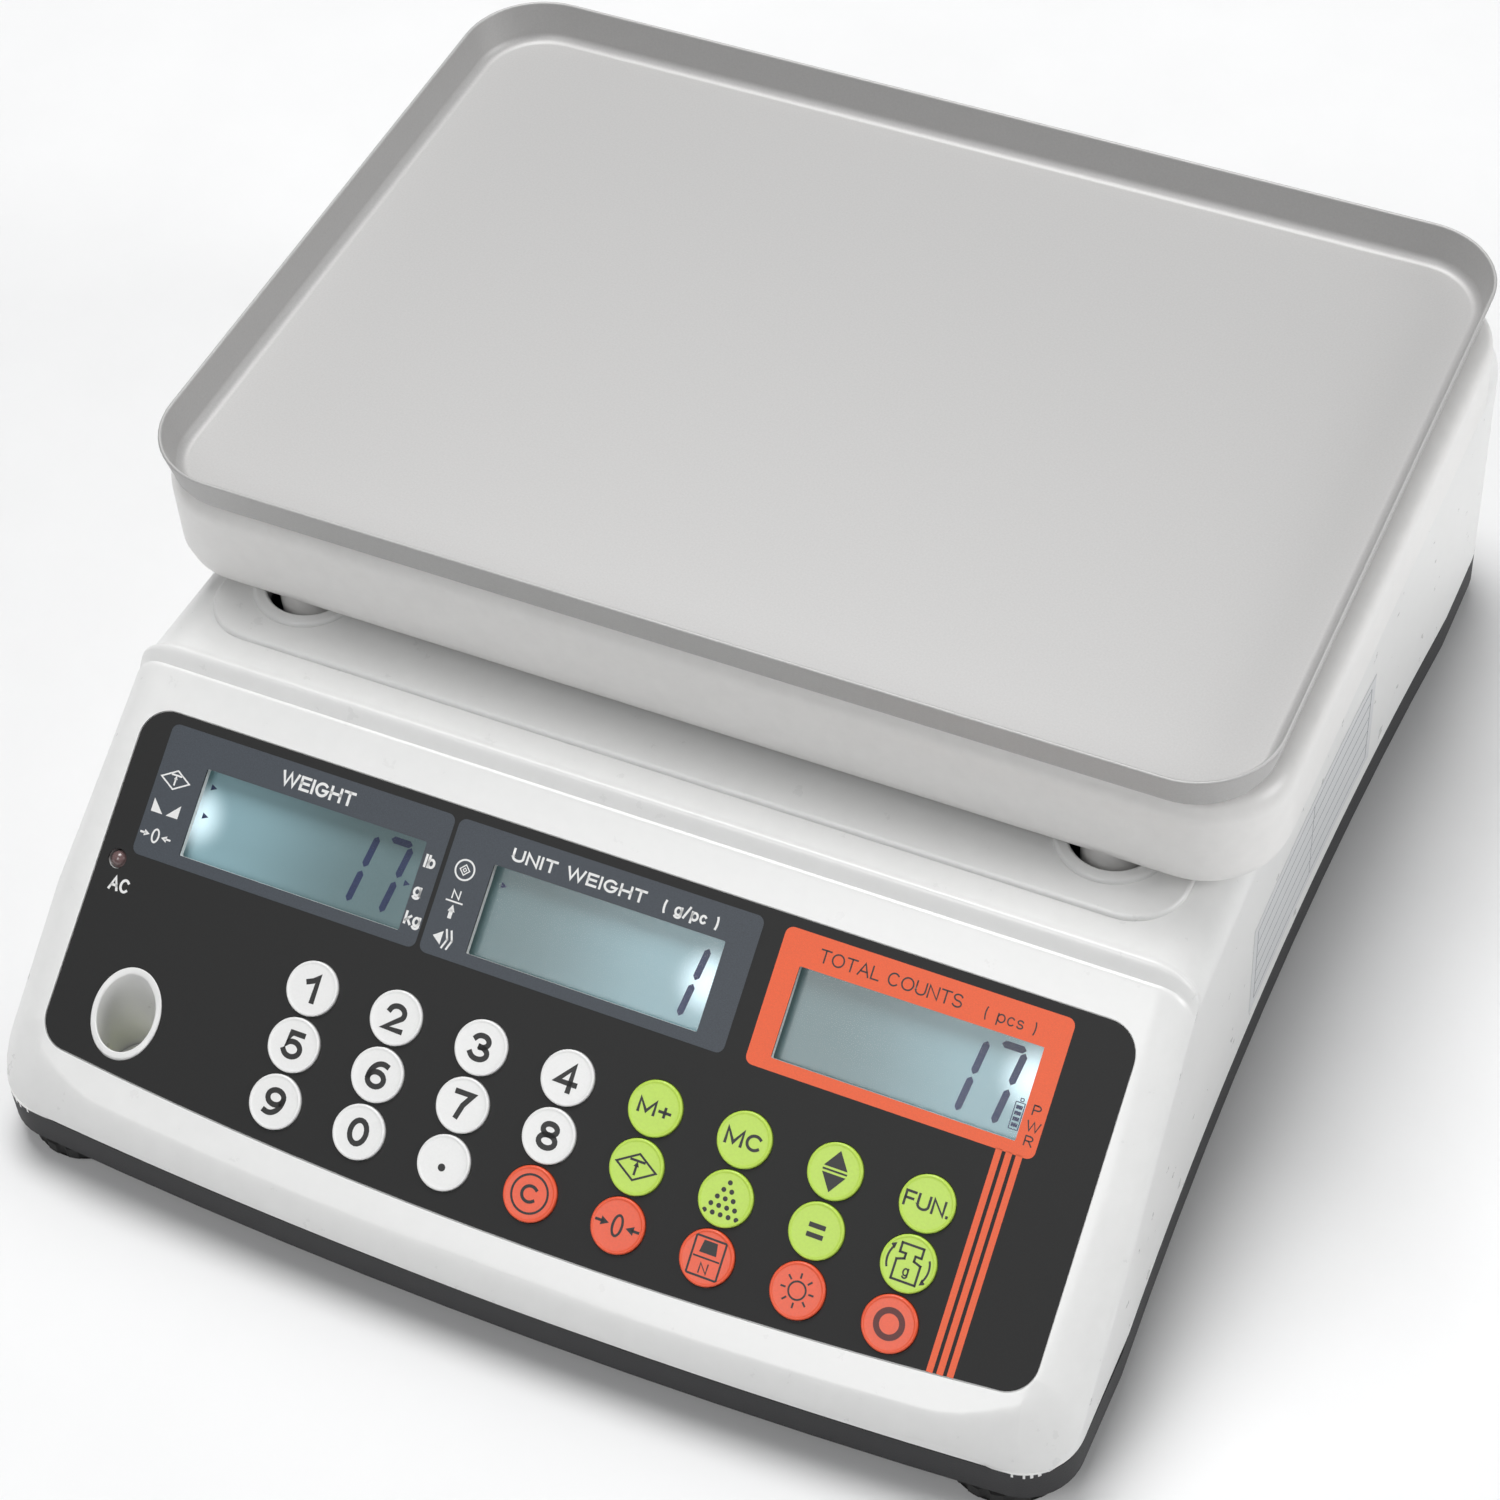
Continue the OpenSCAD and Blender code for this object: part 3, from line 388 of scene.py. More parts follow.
def boolean(piece, tool, operation, solver="EXACT"):
    """Cuts or joins tool into piece for good, and deletes tool."""
    made = piece.modifiers.new("boolean", "BOOLEAN")
    made.operation = operation
    made.solver = solver
    made.object = tool
    bpy.context.view_layer.update()
    graph = bpy.context.evaluated_depsgraph_get()
    mesh = bpy.data.meshes.new_from_object(piece.evaluated_get(graph))
    piece.modifiers.clear()
    piece.data = mesh
    bpy.data.objects.remove(tool)


def finish_piece(piece, body, slot, *replaced):
    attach(piece, body)
    if replaced:
        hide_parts(*replaced)
    return piece


# --- Flat drawings -----------------------------------------------------------------------------
def oval(cx, cy, rx, ry, start=0, stop=360, steps=20):
    return [(cx + rx * x, cy + ry * y) for x, y in arc(0, 0, 1, start, stop, steps)]


# Letters as strokes in a box one capital high: width of the box, then its strokes
BOWL = oval(0.5, 0.36, 0.5, 0.36)
SIX = [oval(0.5, 0.31, 0.5, 0.31), oval(0.72, 0.34, 0.72, 0.66, 178, 72)]
PEE = [(0, 0), (0, 1), (0.55, 1)] + oval(0.55, 0.74, 0.45, 0.26, 90, -90) + [(0, 0.48)]
GLYPHS = {
    "W": (1.25, [(0, 1), (0.25, 0), (0.5, 1), (0.75, 0), (1, 1)]),
    "E": (0.66, [(1, 1), (0, 1), (0, 0), (1, 0)], [(0, 0.52), (0.9, 0.52)]),
    "I": (0.01, [(0.5, 1), (0.5, 0)]),
    "G": (0.90, oval(0.5, 0.5, 0.5, 0.5, 48, 325) + [(1, 0.46), (0.6, 0.46)]),
    "H": (0.78, [(0, 0), (0, 1)], [(1, 0), (1, 1)], [(0, 0.52), (1, 0.52)]),
    "T": (0.78, [(0, 1), (1, 1)], [(0.5, 1), (0.5, 0)]),
    "U": (0.78, [(0, 1), (0, 0.32)] + oval(0.5, 0.32, 0.5, 0.32, 180, 360) + [(1, 1)]),
    "N": (0.78, [(0, 0), (0, 1), (1, 0), (1, 1)]),
    "O": (0.95, oval(0.5, 0.5, 0.5, 0.5)),
    "A": (0.86, [(0, 0), (0.5, 1), (1, 0)], [(0.2, 0.34), (0.8, 0.34)]),
    "L": (0.60, [(0, 1), (0, 0), (1, 0)]),
    "C": (0.86, oval(0.5, 0.5, 0.5, 0.5, 46, 314)),
    "S": (0.70, oval(0.5, 0.75, 0.46, 0.25, 25, 262) + oval(0.5, 0.25, 0.5, 0.25, 82, -155)),
    "P": (0.70, PEE), "R": (0.72, PEE, [(0.5, 0.48), (1, 0)]),
    "M": (0.95, [(0, 0), (0, 1), (0.5, 0.1), (1, 1), (1, 0)]),
    "F": (0.64, [(0, 0), (0, 1), (1, 1)], [(0, 0.5), (0.85, 0.5)]),
    "+": (0.62, [(0, 0.42), (1, 0.42)], [(0.5, 0.1), (0.5, 0.74)]),
    ".": (0.02, [(0.5, 0), (0.5, 0.03)]), " ": (0.30,),
    "(": (0.20, oval(1, 0.42, 1, 0.72, 130, 230)), ")": (0.20, oval(0, 0.42, 1, 0.72, 50, -50)),
    "/": (0.42, [(0, -0.05), (1, 1.05)]),
    "g": (0.56, BOWL, [(1, 0.72), (1, -0.05)] + oval(0.5, -0.05, 0.5, 0.22, 0, -150)),
    "p": (0.56, BOWL, [(0, 0.72), (0, -0.28)]), "b": (0.56, BOWL, [(0, 1), (0, 0)]),
    "c": (0.52, oval(0.5, 0.36, 0.5, 0.36, 46, 314)), "l": (0.01, [(0.5, 1), (0.5, 0)]),
    "s": (0.44, oval(0.5, 0.54, 0.46, 0.18, 25, 262) + oval(0.5, 0.18, 0.5, 0.18, 82, -155)),
    "k": (0.54, [(0, 1), (0, 0)], [(0.9, 0.7), (0.02, 0.26)], [(0.35, 0.44), (1, 0)]),
    "1": (0.36, [(0, 0.74), (0.5, 0.84), (0.9, 1), (0.9, 0)]),
    "2": (0.60, oval(0.5, 0.7, 0.48, 0.3, 165, -32) + [(0, 0), (1, 0)]),
    "3": (0.58, oval(0.46, 0.755, 0.46, 0.245, 155, -85), oval(0.46, 0.265, 0.54, 0.265, 88, -158)),
    "4": (0.66, [(0.74, 0), (0.74, 1), (0, 0.3), (1, 0.3)]),
    "5": (0.60, [(0.92, 1), (0.22, 1), (0.1, 0.5)] + oval(0.48, 0.32, 0.52, 0.32, 128, -155)),
    "6": (0.60, *SIX), "9": (0.60, *[[(1 - x, 1 - y) for x, y in line] for line in SIX]),
    "7": (0.58, [(0, 1), (1, 1), (0.55, 0.5), (0.36, 0)]),
    "8": (0.60, oval(0.5, 0.765, 0.43, 0.235), oval(0.5, 0.27, 0.5, 0.27)),
    "0": (0.60, oval(0.5, 0.5, 0.5, 0.5)),
}


class Drawing:
    """Thin printed shapes in one ink, drawn flat in millimetres and laid on a surface."""

    def __init__(self, name, ink, body, place, low=-0.03, high=0.04, slot="overlay"):
        self.name, self.ink, self.body, self.place, self.slot = name, ink, body, place, slot
        self.low, self.high = low, high
        self.parts = []

    def shape(self, outline):
        flat = list(outline)
        turned = sum(a[0] * b[1] - b[0] * a[1] for a, b in zip(flat, flat[1:] + flat[:1]))
        if turned < 0:
            flat.reverse()
        self.parts.append(skin([[(x, y, self.low) for x, y in flat],
                                [(x, y, self.high) for x, y in flat]]))

    def band(self, outer, inner, closed=True):
        """The strip between two lines with the same number of points."""
        if not closed:
            self.shape(list(outer) + list(reversed(inner)))
            return
        rings = [[(x, y, z) for x, y in line] for line, z in
                 ((inner, self.low), (outer, self.low), (outer, self.high), (inner, self.high))]
        self.parts.append(skin(rings, closed=True))

    def disc(self, x, y, r, steps=32):
        self.shape(arc(x, y, r, 0, 360 - 360 / steps, steps - 1))

    def ring(self, x, y, outer, inner, steps=48):
        end = 360 - 360 / steps
        self.band(arc(x, y, outer, 0, end, steps - 1), arc(x, y, inner, 0, end, steps - 1))

    def bow(self, x, y, r, width, start, stop, steps=20):
        self.band(arc(x, y, r + width / 2, start, stop, steps),
                  arc(x, y, r - width / 2, start, stop, steps), closed=False)

    def bar(self, x0, y0, x1, y1, width):
        along = Vector((x1 - x0, y1 - y0)).normalized() * (width / 2)
        side = Vector((-along.y, along.x))
        self.shape([(x0 - side.x, y0 - side.y), (x1 - side.x, y1 - side.y),
                    (x1 + side.x, y1 + side.y), (x0 + side.x, y0 + side.y)])

    def line(self, points, width, closed=False):
        ends = list(points) + ([points[0]] if closed else [])
        for (x0, y0), (x1, y1) in zip(ends, ends[1:]):
            step = Vector((x1 - x0, y1 - y0)).normalized() * (width / 2)
            self.bar(x0 - step.x, y0 - step.y, x1 + step.x, y1 + step.y, width)

    def frame(self, x, y, w, h, width):
        self.band(rounded_rect(w, h, width, x, y, 3),
                  rounded_rect(w - 2 * width, h - 2 * width, 0.1, x, y, 3))

    def head(self, x, y, size, angle):
        """Filled arrow head whose tip is at x, y."""
        spread = [math.radians(angle + s) for s in (-28, 28)]
        self.shape([(x, y)] + [(x - size * math.cos(a), y - size * math.sin(a)) for a in spread])

    def arrow(self, x0, y0, x1, y1, width, size):
        """Line from x0, y0 that ends in an arrow head at x1, y1."""
        along = Vector((x1 - x0, y1 - y0)).normalized() * (size * 0.6)
        self.bar(x0, y0, x1 - along.x, y1 - along.y, width)
        self.head(x1, y1, size, math.degrees(math.atan2(y1 - y0, x1 - x0)))

    def segment(self, x0, y0, x1, y1, width):
        """Display segment: a bar with pointed ends."""
        tip = Vector((x1 - x0, y1 - y0)).normalized() * (width / 2)
        near, far = Vector((x0, y0)) + tip, Vector((x1, y1)) - tip
        side = Vector((-tip.y, tip.x))
        self.shape([(x0, y0), near - side, far - side, (x1, y1), far + side, near + side])

    def diamond(self, x, y, w, h, width):
        outer = [(x - w / 2, y), (x, y - h / 2), (x + w / 2, y), (x, y + h / 2)]
        k = 1 - 2 * width / min(w, h)
        self.band(outer, [(x + (px - x) * k, y + (py - y) * k) for px, py in outer])

    def zero_mark(self, x, y, w, h, width):
        """An oval nought with an arrow pointing at it from each side."""
        turns = [2 * math.pi * i / 28 for i in range(28)]
        ovals = [[(x + (w * 0.13 - d) * math.cos(a), y + (h / 2 - d) * math.sin(a)) for a in turns]
                 for d in (0, width)]
        self.band(*ovals)
        for s in (-1, 1):
            self.arrow(x + s * w / 2, y, x + s * w * 0.19, y, width, w * 0.2)

    def stroke(self, points, width):
        """A line of even width with mitred corners and square ends, or a loop if it closes."""
        line = [Vector(p) for p in points]
        closed = (line[0] - line[-1]).length < 1e-4
        if closed:
            line.pop()
        else:
            line[0] += (line[0] - line[1]).normalized() * width / 2
            line[-1] += (line[-1] - line[-2]).normalized() * width / 2
        sides = ([], [])
        for i, p in enumerate(line):
            before = line[i - 1] if closed or i else p - (line[1] - p)
            after = line[(i + 1) % len(line)] if closed or i < len(line) - 1 else p + (p - before)
            a, b = (p - before).normalized(), (after - p).normalized()
            normal = Vector((-a.y - b.y, a.x + b.x)).normalized()
            reach = width / 2 / max(0.5, normal.dot(Vector((-a.y, a.x))))
            sides[0].append(p + normal * reach)
            sides[1].append(p - normal * reach)
        if closed:
            turned = sum(a.x * b.y - b.x * a.y for a, b in zip(line, line[1:] + line[:1]))
            outer, inner = (sides[1], sides[0]) if turned > 0 else (sides[0][::-1], sides[1][::-1])
            self.band(outer, inner)
            return
        right, left = sides[1], sides[0]
        rings = [[(q.x, q.y, z) for q, z in
                  ((r, self.low), (m, self.low), (m, self.high), (r, self.high))]
                 for r, m in zip(right, left)]
        self.parts.append(skin(rings, caps=(True, True)))

    def text(self, words, x, y, size, width=None, weight=0.15):
        """Words centred on x, y; size is a capital's height, width that of the line and weight
        the stroke's share of the height."""
        pen = weight * size
        gap = 0.13 * size + pen
        natural = sum(GLYPHS[c][0] * size for c in words) + gap * (len(words) - 1) + pen
        squeeze = (width - pen) / (natural - pen) if width else 1.0
        at = x - ((natural - pen) * squeeze) / 2
        foot = y - size / 2 + pen / 2
        for c in words:
            w = GLYPHS[c][0] * size * squeeze
            for line in GLYPHS[c][1:]:
                self.stroke([(at + px * w, foot + py * (size - pen)) for px, py in line], pen)
            at += w + gap * squeeze

    def make(self):
        points, faces = merge(self.parts)
        made = make_object(self.name, points, faces, INK[self.ink], unit=1)
        made.data.transform(self.place)
        return finish_piece(made, self.body, self.slot)


# --- Housing -----------------------------------------------------------------------------------
FRONT_BOW, SIDE_WAIST = 5.0, 4.5
FRONT_CORNER, REAR_CORNER = 15.0, 20.0
BEND = 0.8
WAIST_END = 45.0
RIDGE_CUTS = [-7, -5.6, -4.9, -4.4, -3.9, -3.4, -2.9, -2.2, -1.6, -1.0, -0.5,
              0, 0.5, 1.0, 1.5, 2.0, 2.6, 3.4, 4.5, 6]


def ease(value, low, high):
    """0 below low, 1 above high, smooth between."""
    t = min(1.0, max(0.0, (value - low) / (high - low)))
    return t * t * (3 - 2 * t)


def top_height(y):
    """Height of the housing's top at y: level deck, a bead and groove at the ridge, the panel."""
    behind = (RIDGE_Y - y) / BEND
    drop = BEND * (max(behind, 0) + math.log1p(math.exp(-abs(behind))))
    bead = 1.1 * math.exp(-((y - RIDGE_Y + 0.9) / 1.5) ** 2)
    groove = -0.55 * math.exp(-((y - RIDGE_Y + 3.7) / 0.55) ** 2)
    return DECK_Z - drop * math.tan(SLOPE) + bead + groove


def side_x(y):
    """Distance from the middle of the body to its right-hand wall, drawn in at the waist."""
    waist_half = BODY_D / 2 - WAIST_END
    radius = bow_radius(waist_half, SIDE_WAIST)
    inner = math.sqrt(radius ** 2 - y * y) - (radius - SIDE_WAIST) if abs(y) < waist_half else 0
    return BODY_W / 2 - max(0, inner)


def half_outline():
    """Right half of the body seen from above, front middle to rear middle."""
    half_w, half_d = BODY_W / 2, BODY_D / 2
    corner_x = half_w - FRONT_CORNER
    front_r = bow_radius(corner_x, FRONT_BOW)
    front_y = -half_d + FRONT_BOW
    reach = math.degrees(math.asin(corner_x / front_r))
    points = arc(0, -half_d + front_r, front_r, -90, -90 + reach, 24)
    points += arc(corner_x, front_y + FRONT_CORNER, FRONT_CORNER, -90 + reach, 0, 14)[1:]
    cuts = sorted({-half_d + 50 + 8 * i for i in range(34)} | {RIDGE_Y + c for c in RIDGE_CUTS})
    for y in cuts:
        if abs(y) < half_d - REAR_CORNER - 4 and y > front_y + FRONT_CORNER + 2:
            points.append((side_x(y), y))
    points += arc(half_w - REAR_CORNER, half_d - REAR_CORNER, REAR_CORNER, 0, 90, 12)
    points += [(x, half_d) for x in (95, 65, 35, 0)]
    return points


def rim_radius(x, y):
    """Radius of the fillet between the housing's top and its wall, by place."""
    side = 10.0 + 3.0 * ease(y, RIDGE_Y - 1.5, RIDGE_Y + 1.5)
    front = 4.4 + 7.6 * ease(abs(x), 112, 144)
    rear = 9.0
    radius = front + (side - front) * ease(y, -BODY_D / 2 + 14, -BODY_D / 2 + 48)
    return radius + (rear - radius) * ease(y, BODY_D / 2 - 24, BODY_D / 2 - 4)


def rim_power(y):
    """2 for a round fillet; lower gives the front a sloping face with a clear crease."""
    return 1.45 + 0.55 * ease(y, -BODY_D / 2 + 10, -BODY_D / 2 + 40)


def body_rings(inset, thickness, low, steps):
    """Rings of the housing's skin from its bottom edge to the start of its flat top."""
    right = half_outline()
    outline = right + [(-x, y) for x, y in reversed(right[1:-1])]
    count = len(outline)
    rings = [[] for _ in range(steps + 3)]
    for i, (x, y) in enumerate(outline):
        before, after = Vector(outline[i - 1]), Vector(outline[(i + 1) % count])
        along = (after - before).normalized()
        inward = Vector((-along.y, along.x))
        radius = max(1.5, rim_radius(x, y) - inset)
        power = rim_power(y)
        start = Vector((x, y)) + inward * inset

        def at(d, z=None):
            p = start + inward * d
            if z is None:
                rest = max(0.0, 1 - d / radius)
                drop = radius * (1 - (1 - rest ** power) ** (1 / power))
                z = top_height(p.y) - thickness - drop
            return (p.x, p.y, z)
        rings[0].append(at(0.45 if not inset else 0, low))
        rings[1].append(at(0, low + 0.5))
        for k in range(steps + 1):
            turn = math.pi / 2 * k / steps
            rings[2 + k].append(at(radius * (1 - math.cos(turn))))
    return rings


def body_skin(inset, thickness, low, steps):
    """The housing's outer or inner skin, open below: rings, then a ladder across the top."""
    rings = body_rings(inset, thickness, low, steps)
    points, faces = skin(rings, caps=(False, False))
    count = len(rings[0])
    start = (len(rings) - 1) * count
    half = count // 2
    for i in range(half):
        left, left_next = (count - i) % count, count - i - 1
        face = [start + left, start + i, start + i + 1, start + left_next]
        faces.append(tuple(dict.fromkeys(face)))
    return points, faces


def overlay_outline(grow):
    """Overlay's edge on the panel, drawn y up: straight top and sides, bowed bottom."""
    half, r = OVERLAY_HIGH.x + grow, 8.0 + grow
    rise = 6.2
    bow_half = OVERLAY_HIGH.x - 8.0
    bow_r = bow_radius(bow_half, rise)
    low = OVERLAY_BOTTOM
    reach = math.degrees(math.asin(bow_half / bow_r))
    points = arc(0, -low + bow_r, bow_r + grow, -90 - reach, -90 + reach, 40)
    points += arc(bow_half, -low + rise + 8.0, r, -90 + reach, 0, 8)[1:]
    points += arc(bow_half, -OVERLAY_TOP - 8.0, r, 0, 90, 8)
    points += arc(-bow_half, -OVERLAY_TOP - 8.0, r, 90, 180, 8)
    points += arc(-bow_half, -low + rise + 8.0, r, 180, 270 - reach, 8)[:-1]
    return points


OVERLAY_BOTTOM = 110.2
WINDOW_V = 38.0
WINDOWS = [(on_panel(middle(name))[0], WINDOW_V)
           for name in ("lcd_weight", "lcd_unit_weight", "lcd_total")]
WINDOW_W, WINDOW_H = 62.0, 22.5
KEYS = [name for name in frame["nodes"] if name.startswith("key_") and name != "key_switches"]
KEY_AT = {name: on_panel(middle(name))[:2] for name in KEYS}
LAMP_AT = on_panel(middle("mains_lamp"))[:2]
COLLAR_BORE, COLLAR_R, PLATEAU_H, COLLAR_H = 11.0, 14.6, 1.3, 1.2
TUBE_BORE, TUBE_R = 7.8, 9.3


def panel_height(y):
    return DECK_Z - (RIDGE_Y - y) * math.tan(SLOPE)


def prism(outline, low, high):
    return skin([[(x, y, low) for x, y in outline], [(x, y, high) for x, y in outline]])


def housing_tube():
    """Wall of the sight tube, its rim just proud of the overlay."""
    turns = [2 * math.pi * i / 64 for i in range(64)]

    def ring(r, rise, low=None):
        made = []
        for a in turns:
            x, y = TUBE.x + r * math.cos(a), TUBE.y + r * math.sin(a)
            made.append((x, y, low if low is not None else panel_height(y) + rise))
        return made
    foot = TUBE.z - 2
    rings = [ring(TUBE_R, 0, foot), ring(TUBE_R, 0.25), ring(TUBE_R - 0.25, 0.5),
             ring(TUBE_BORE + 0.3, 0.5), ring(TUBE_BORE, 0.2), ring(TUBE_BORE, 0, foot)]
    return skin(rings, closed=True)


PLATEAU_MARGIN, PLATEAU_CORNER = 22, 14


def plateau():
    """Raised island under the pan, with a rounded rim."""
    wide, deep = 2 * (LEG_X + PLATEAU_MARGIN), 2 * (LEG_Y + PLATEAU_MARGIN)
    profile = [(0, DECK_Z - 0.6), (0, DECK_Z + 0.3)]
    profile += [(1.0 - x, DECK_Z + 0.3 + z) for x, z in arc(0, 0, 1.0, 15, 90, 5)]
    return skin(box_rings(wide, deep, PLATEAU_CORNER, 0, PAN_Y, profile))


def collar(x, y):
    top = DECK_Z + PLATEAU_H + COLLAR_H
    profile = [(COLLAR_R, DECK_Z - 1)]
    profile += [(COLLAR_R - 1.1 + px, top - 1.1 + pz) for px, pz in arc(0, 0, 1.1, 0, 90, 5)]
    profile += [(COLLAR_BORE + 0.9 - px, top - 0.9 + pz) for px, pz in arc(0, 0, 0.9, 90, 0, 5)]
    profile += [(COLLAR_BORE, DECK_Z - WALL - 1.5), (COLLAR_R - 0.4, DECK_Z - WALL - 1.5)]
    return lathe(profile, x, y, closed=True, steps=64)


def make_housing():
    white = MATERIALS["housing"]
    outer, inner = body_skin(0, 0, BAND_TOP, 10), body_skin(WALL, WALL, BAND_TOP, 5)
    points, faces = merge([outer, (inner[0], [tuple(reversed(f)) for f in inner[1]])])
    count, shift = len(body_rings(0, 0, 0, 1)[0]), len(outer[0])
    faces += [(i, shift + i, shift + (i + 1) % count, (i + 1) % count) for i in range(count)]
    housing = make_object("housing_shell", points, faces, white)
    flat = make_object("plateau", *plateau(), white)
    boolean(housing, flat, "UNION")
    place = panel_place(0, 0)
    recess_points, recess_faces = prism(overlay_outline(0.3), -OVERLAY_T, 6)
    recess = make_object("recess", recess_points, recess_faces, white, unit=1)
    recess.data.transform(place)
    boolean(housing, recess, "DIFFERENCE")
    cutters = [prism(rounded_rect(WINDOW_W, WINDOW_H, 0.4, u, -v), -9, 3) for u, v in WINDOWS]
    cutters += [prism(arc(u, -v, KEY_R + 0.2, 0, 354, 59), -9, 3) for u, v in KEY_AT.values()]
    cutters.append(prism(arc(LAMP_AT[0], -LAMP_AT[1], 2.5, 0, 345, 23), -9, 3))
    tool_points, tool_faces = merge(cutters)
    tool = make_object("holes", tool_points, tool_faces, white, unit=1)
    tool.data.transform(place)
    boolean(housing, tool, "DIFFERENCE")
    post = [(COLLAR_R - 0.8, DECK_Z - 8), (COLLAR_R - 0.8, DECK_Z + 5)]
    upright = [lathe(post, x, y) for x, y in LEGS]
    upright.append(lathe([(TUBE_R - 0.5, TUBE.z + 5), (TUBE_R - 0.5, DECK_Z)], TUBE.x, TUBE.y))
    tool_points, tool_faces = merge(upright)
    boolean(housing, make_object("bores", tool_points, tool_faces, white), "DIFFERENCE")
    inlet = middle("power_inlet")
    points, faces = lathe([(4.5, -8), (4.5, 8)])
    tool = make_object("socket_hole", points, faces, white, unit=1)
    tool.data.transform(Matrix.Translation(Vector((inlet.x, BODY_D / 2, inlet.z)) * MM)
                        @ Matrix.Rotation(math.pi / 2, 4, "X") @ Matrix.Scale(MM, 4))
    boolean(housing, tool, "DIFFERENCE")
    parts = [housing_tube()] + [collar(x, y) for x, y in LEGS] + housing_posts()
    points, faces = merge(parts)
    fittings = make_object("housing_fittings", points, faces, white)
    for piece in (housing, fittings):
        smooth(piece)
        weigh_normals(piece)
    finish_piece(housing, "base", "housing", "upper_housing")
    finish_piece(fittings, "base", "housing")


def housing_posts():
    """Screw posts inside the housing, down to the base."""
    x = BODY_W / 2 - SIDE_WAIST - WALL - 4.5 - 2.2
    spots = [(s * x, y) for s in (-1, 1) for y in (-BODY_D / 2 + 66, 20, BODY_D / 2 - 45)]
    tops = [min(DECK_Z, panel_height(y)) - WALL - 4 for _, y in spots]
    return [lathe([(4.5, TRAY_LOW.z + 6), (4.5, top)], px, py, steps=32)
            for (px, py), top in zip(spots, tops)]




# --- Pan and carrier -----------------------------------------------------------------------------
def make_pan():
    w, d, h = PAN_HIGH.x - PAN_LOW.x, PAN_HIGH.y - PAN_LOW.y, PAN_HIGH.z - PAN_LOW.z
    corner, sheet, lean, fillet, z = 22.0, 1.0, 1.8, 4.0, PAN_LOW.z
    inside = fillet - sheet
    profile = arc(lean + fillet, fillet, fillet, 270, 180, 8)
    profile += arc(sheet / 2, h - sheet / 2, sheet / 2, 180, 0, 6)
    profile += arc(lean + fillet, fillet, inside, 180, 270, 8)
    rings = box_rings(w, d, corner, 0, PAN_Y, [(i, z + up) for i, up in profile], steps=14)
    pan = make_object("pan_sheet", *skin(rings), MATERIALS["pan"])
    weigh_normals(pan)
    finish_piece(pan, "pan", "pan", "steel_pan")


CARRIER_H, CARRIER_CORNER, CARRIER_EDGE = 27.2, 22.0, 6.0


def make_carrier():
    w, d = CARRIER_HIGH.x - CARRIER_LOW.x, CARRIER_HIGH.y - CARRIER_LOW.y
    h, corner, edge = CARRIER_H, CARRIER_CORNER, CARRIER_EDGE
    low = CARRIER_HIGH.z - h
    profile = [(30, low + h - WALL)] + arc(edge, h - edge, edge - WALL, 90, 180, 6)
    profile = [(i, z + low if z < low else z) for i, z in profile]
    profile += [(WALL + 0.9, low + 0.6), (WALL + 0.5, low), (1.6, low), (1.1, low + 0.5),
                (0, low + 4)]
    profile += [(i, z + low) for i, z in arc(edge, h - edge, edge, 180, 90, 12)]
    rings = box_rings(w, d, corner, 0, PAN_Y, profile, steps=14)
    parts = [skin(rings)]
    leg_low = CUP.z - 2
    leg = [(LEG_R - 0.6, leg_low), (LEG_R, leg_low + 0.6), (LEG_R, low + h - WALL - 1)]
    parts += [lathe(leg, x, y) for x, y in LEGS]
    carrier = make_object("carrier_shell", *merge(parts), MATERIALS["carrier"])
    weigh_normals(carrier)
    finish_piece(carrier, "carrier", "carrier", "pan_carrier")


# --- Print, displays and keys --------------------------------------------------------------------
PANEL = panel_place(0, 0)
LCD_N = -4.1


def make_blocks():
    """The coloured blocks that frame the windows, and the stripes below the last."""
    for name, ink, left, right, (u, v) in (("block_weight", "slate", -124.7, -44.7, WINDOWS[0]),
                                           ("block_unit_weight", "slate", -43.5, 38.2, WINDOWS[1]),
                                           ("block_total", "orange", 43.9, 117.2, WINDOWS[2])):
        block = Drawing(name, ink, "base", PANEL, high=0.02)
        low, high = -52.3, -18.4
        outer = rounded_rect(right - left, high - low, 2.0, (left + right) / 2, (low + high) / 2, 6)
        inner = rounded_rect(WINDOW_W, WINDOW_H, 0.4, u, -v, 6)
        block.band(outer, inner)
        if ink == "orange":
            for k in range(3):
                left = 108.0 + 2.5 * k
                bow = 6.2 * ((left + 0.8) / (OVERLAY_HIGH.x - 8.0)) ** 2
                ends = (-52.0, -(OVERLAY_BOTTOM - bow))
                block.shape([(left, ends[1]), (left + 1.6, ends[1]), (left + 1.6, ends[0]),
                             (left, ends[0])])
        block.make()


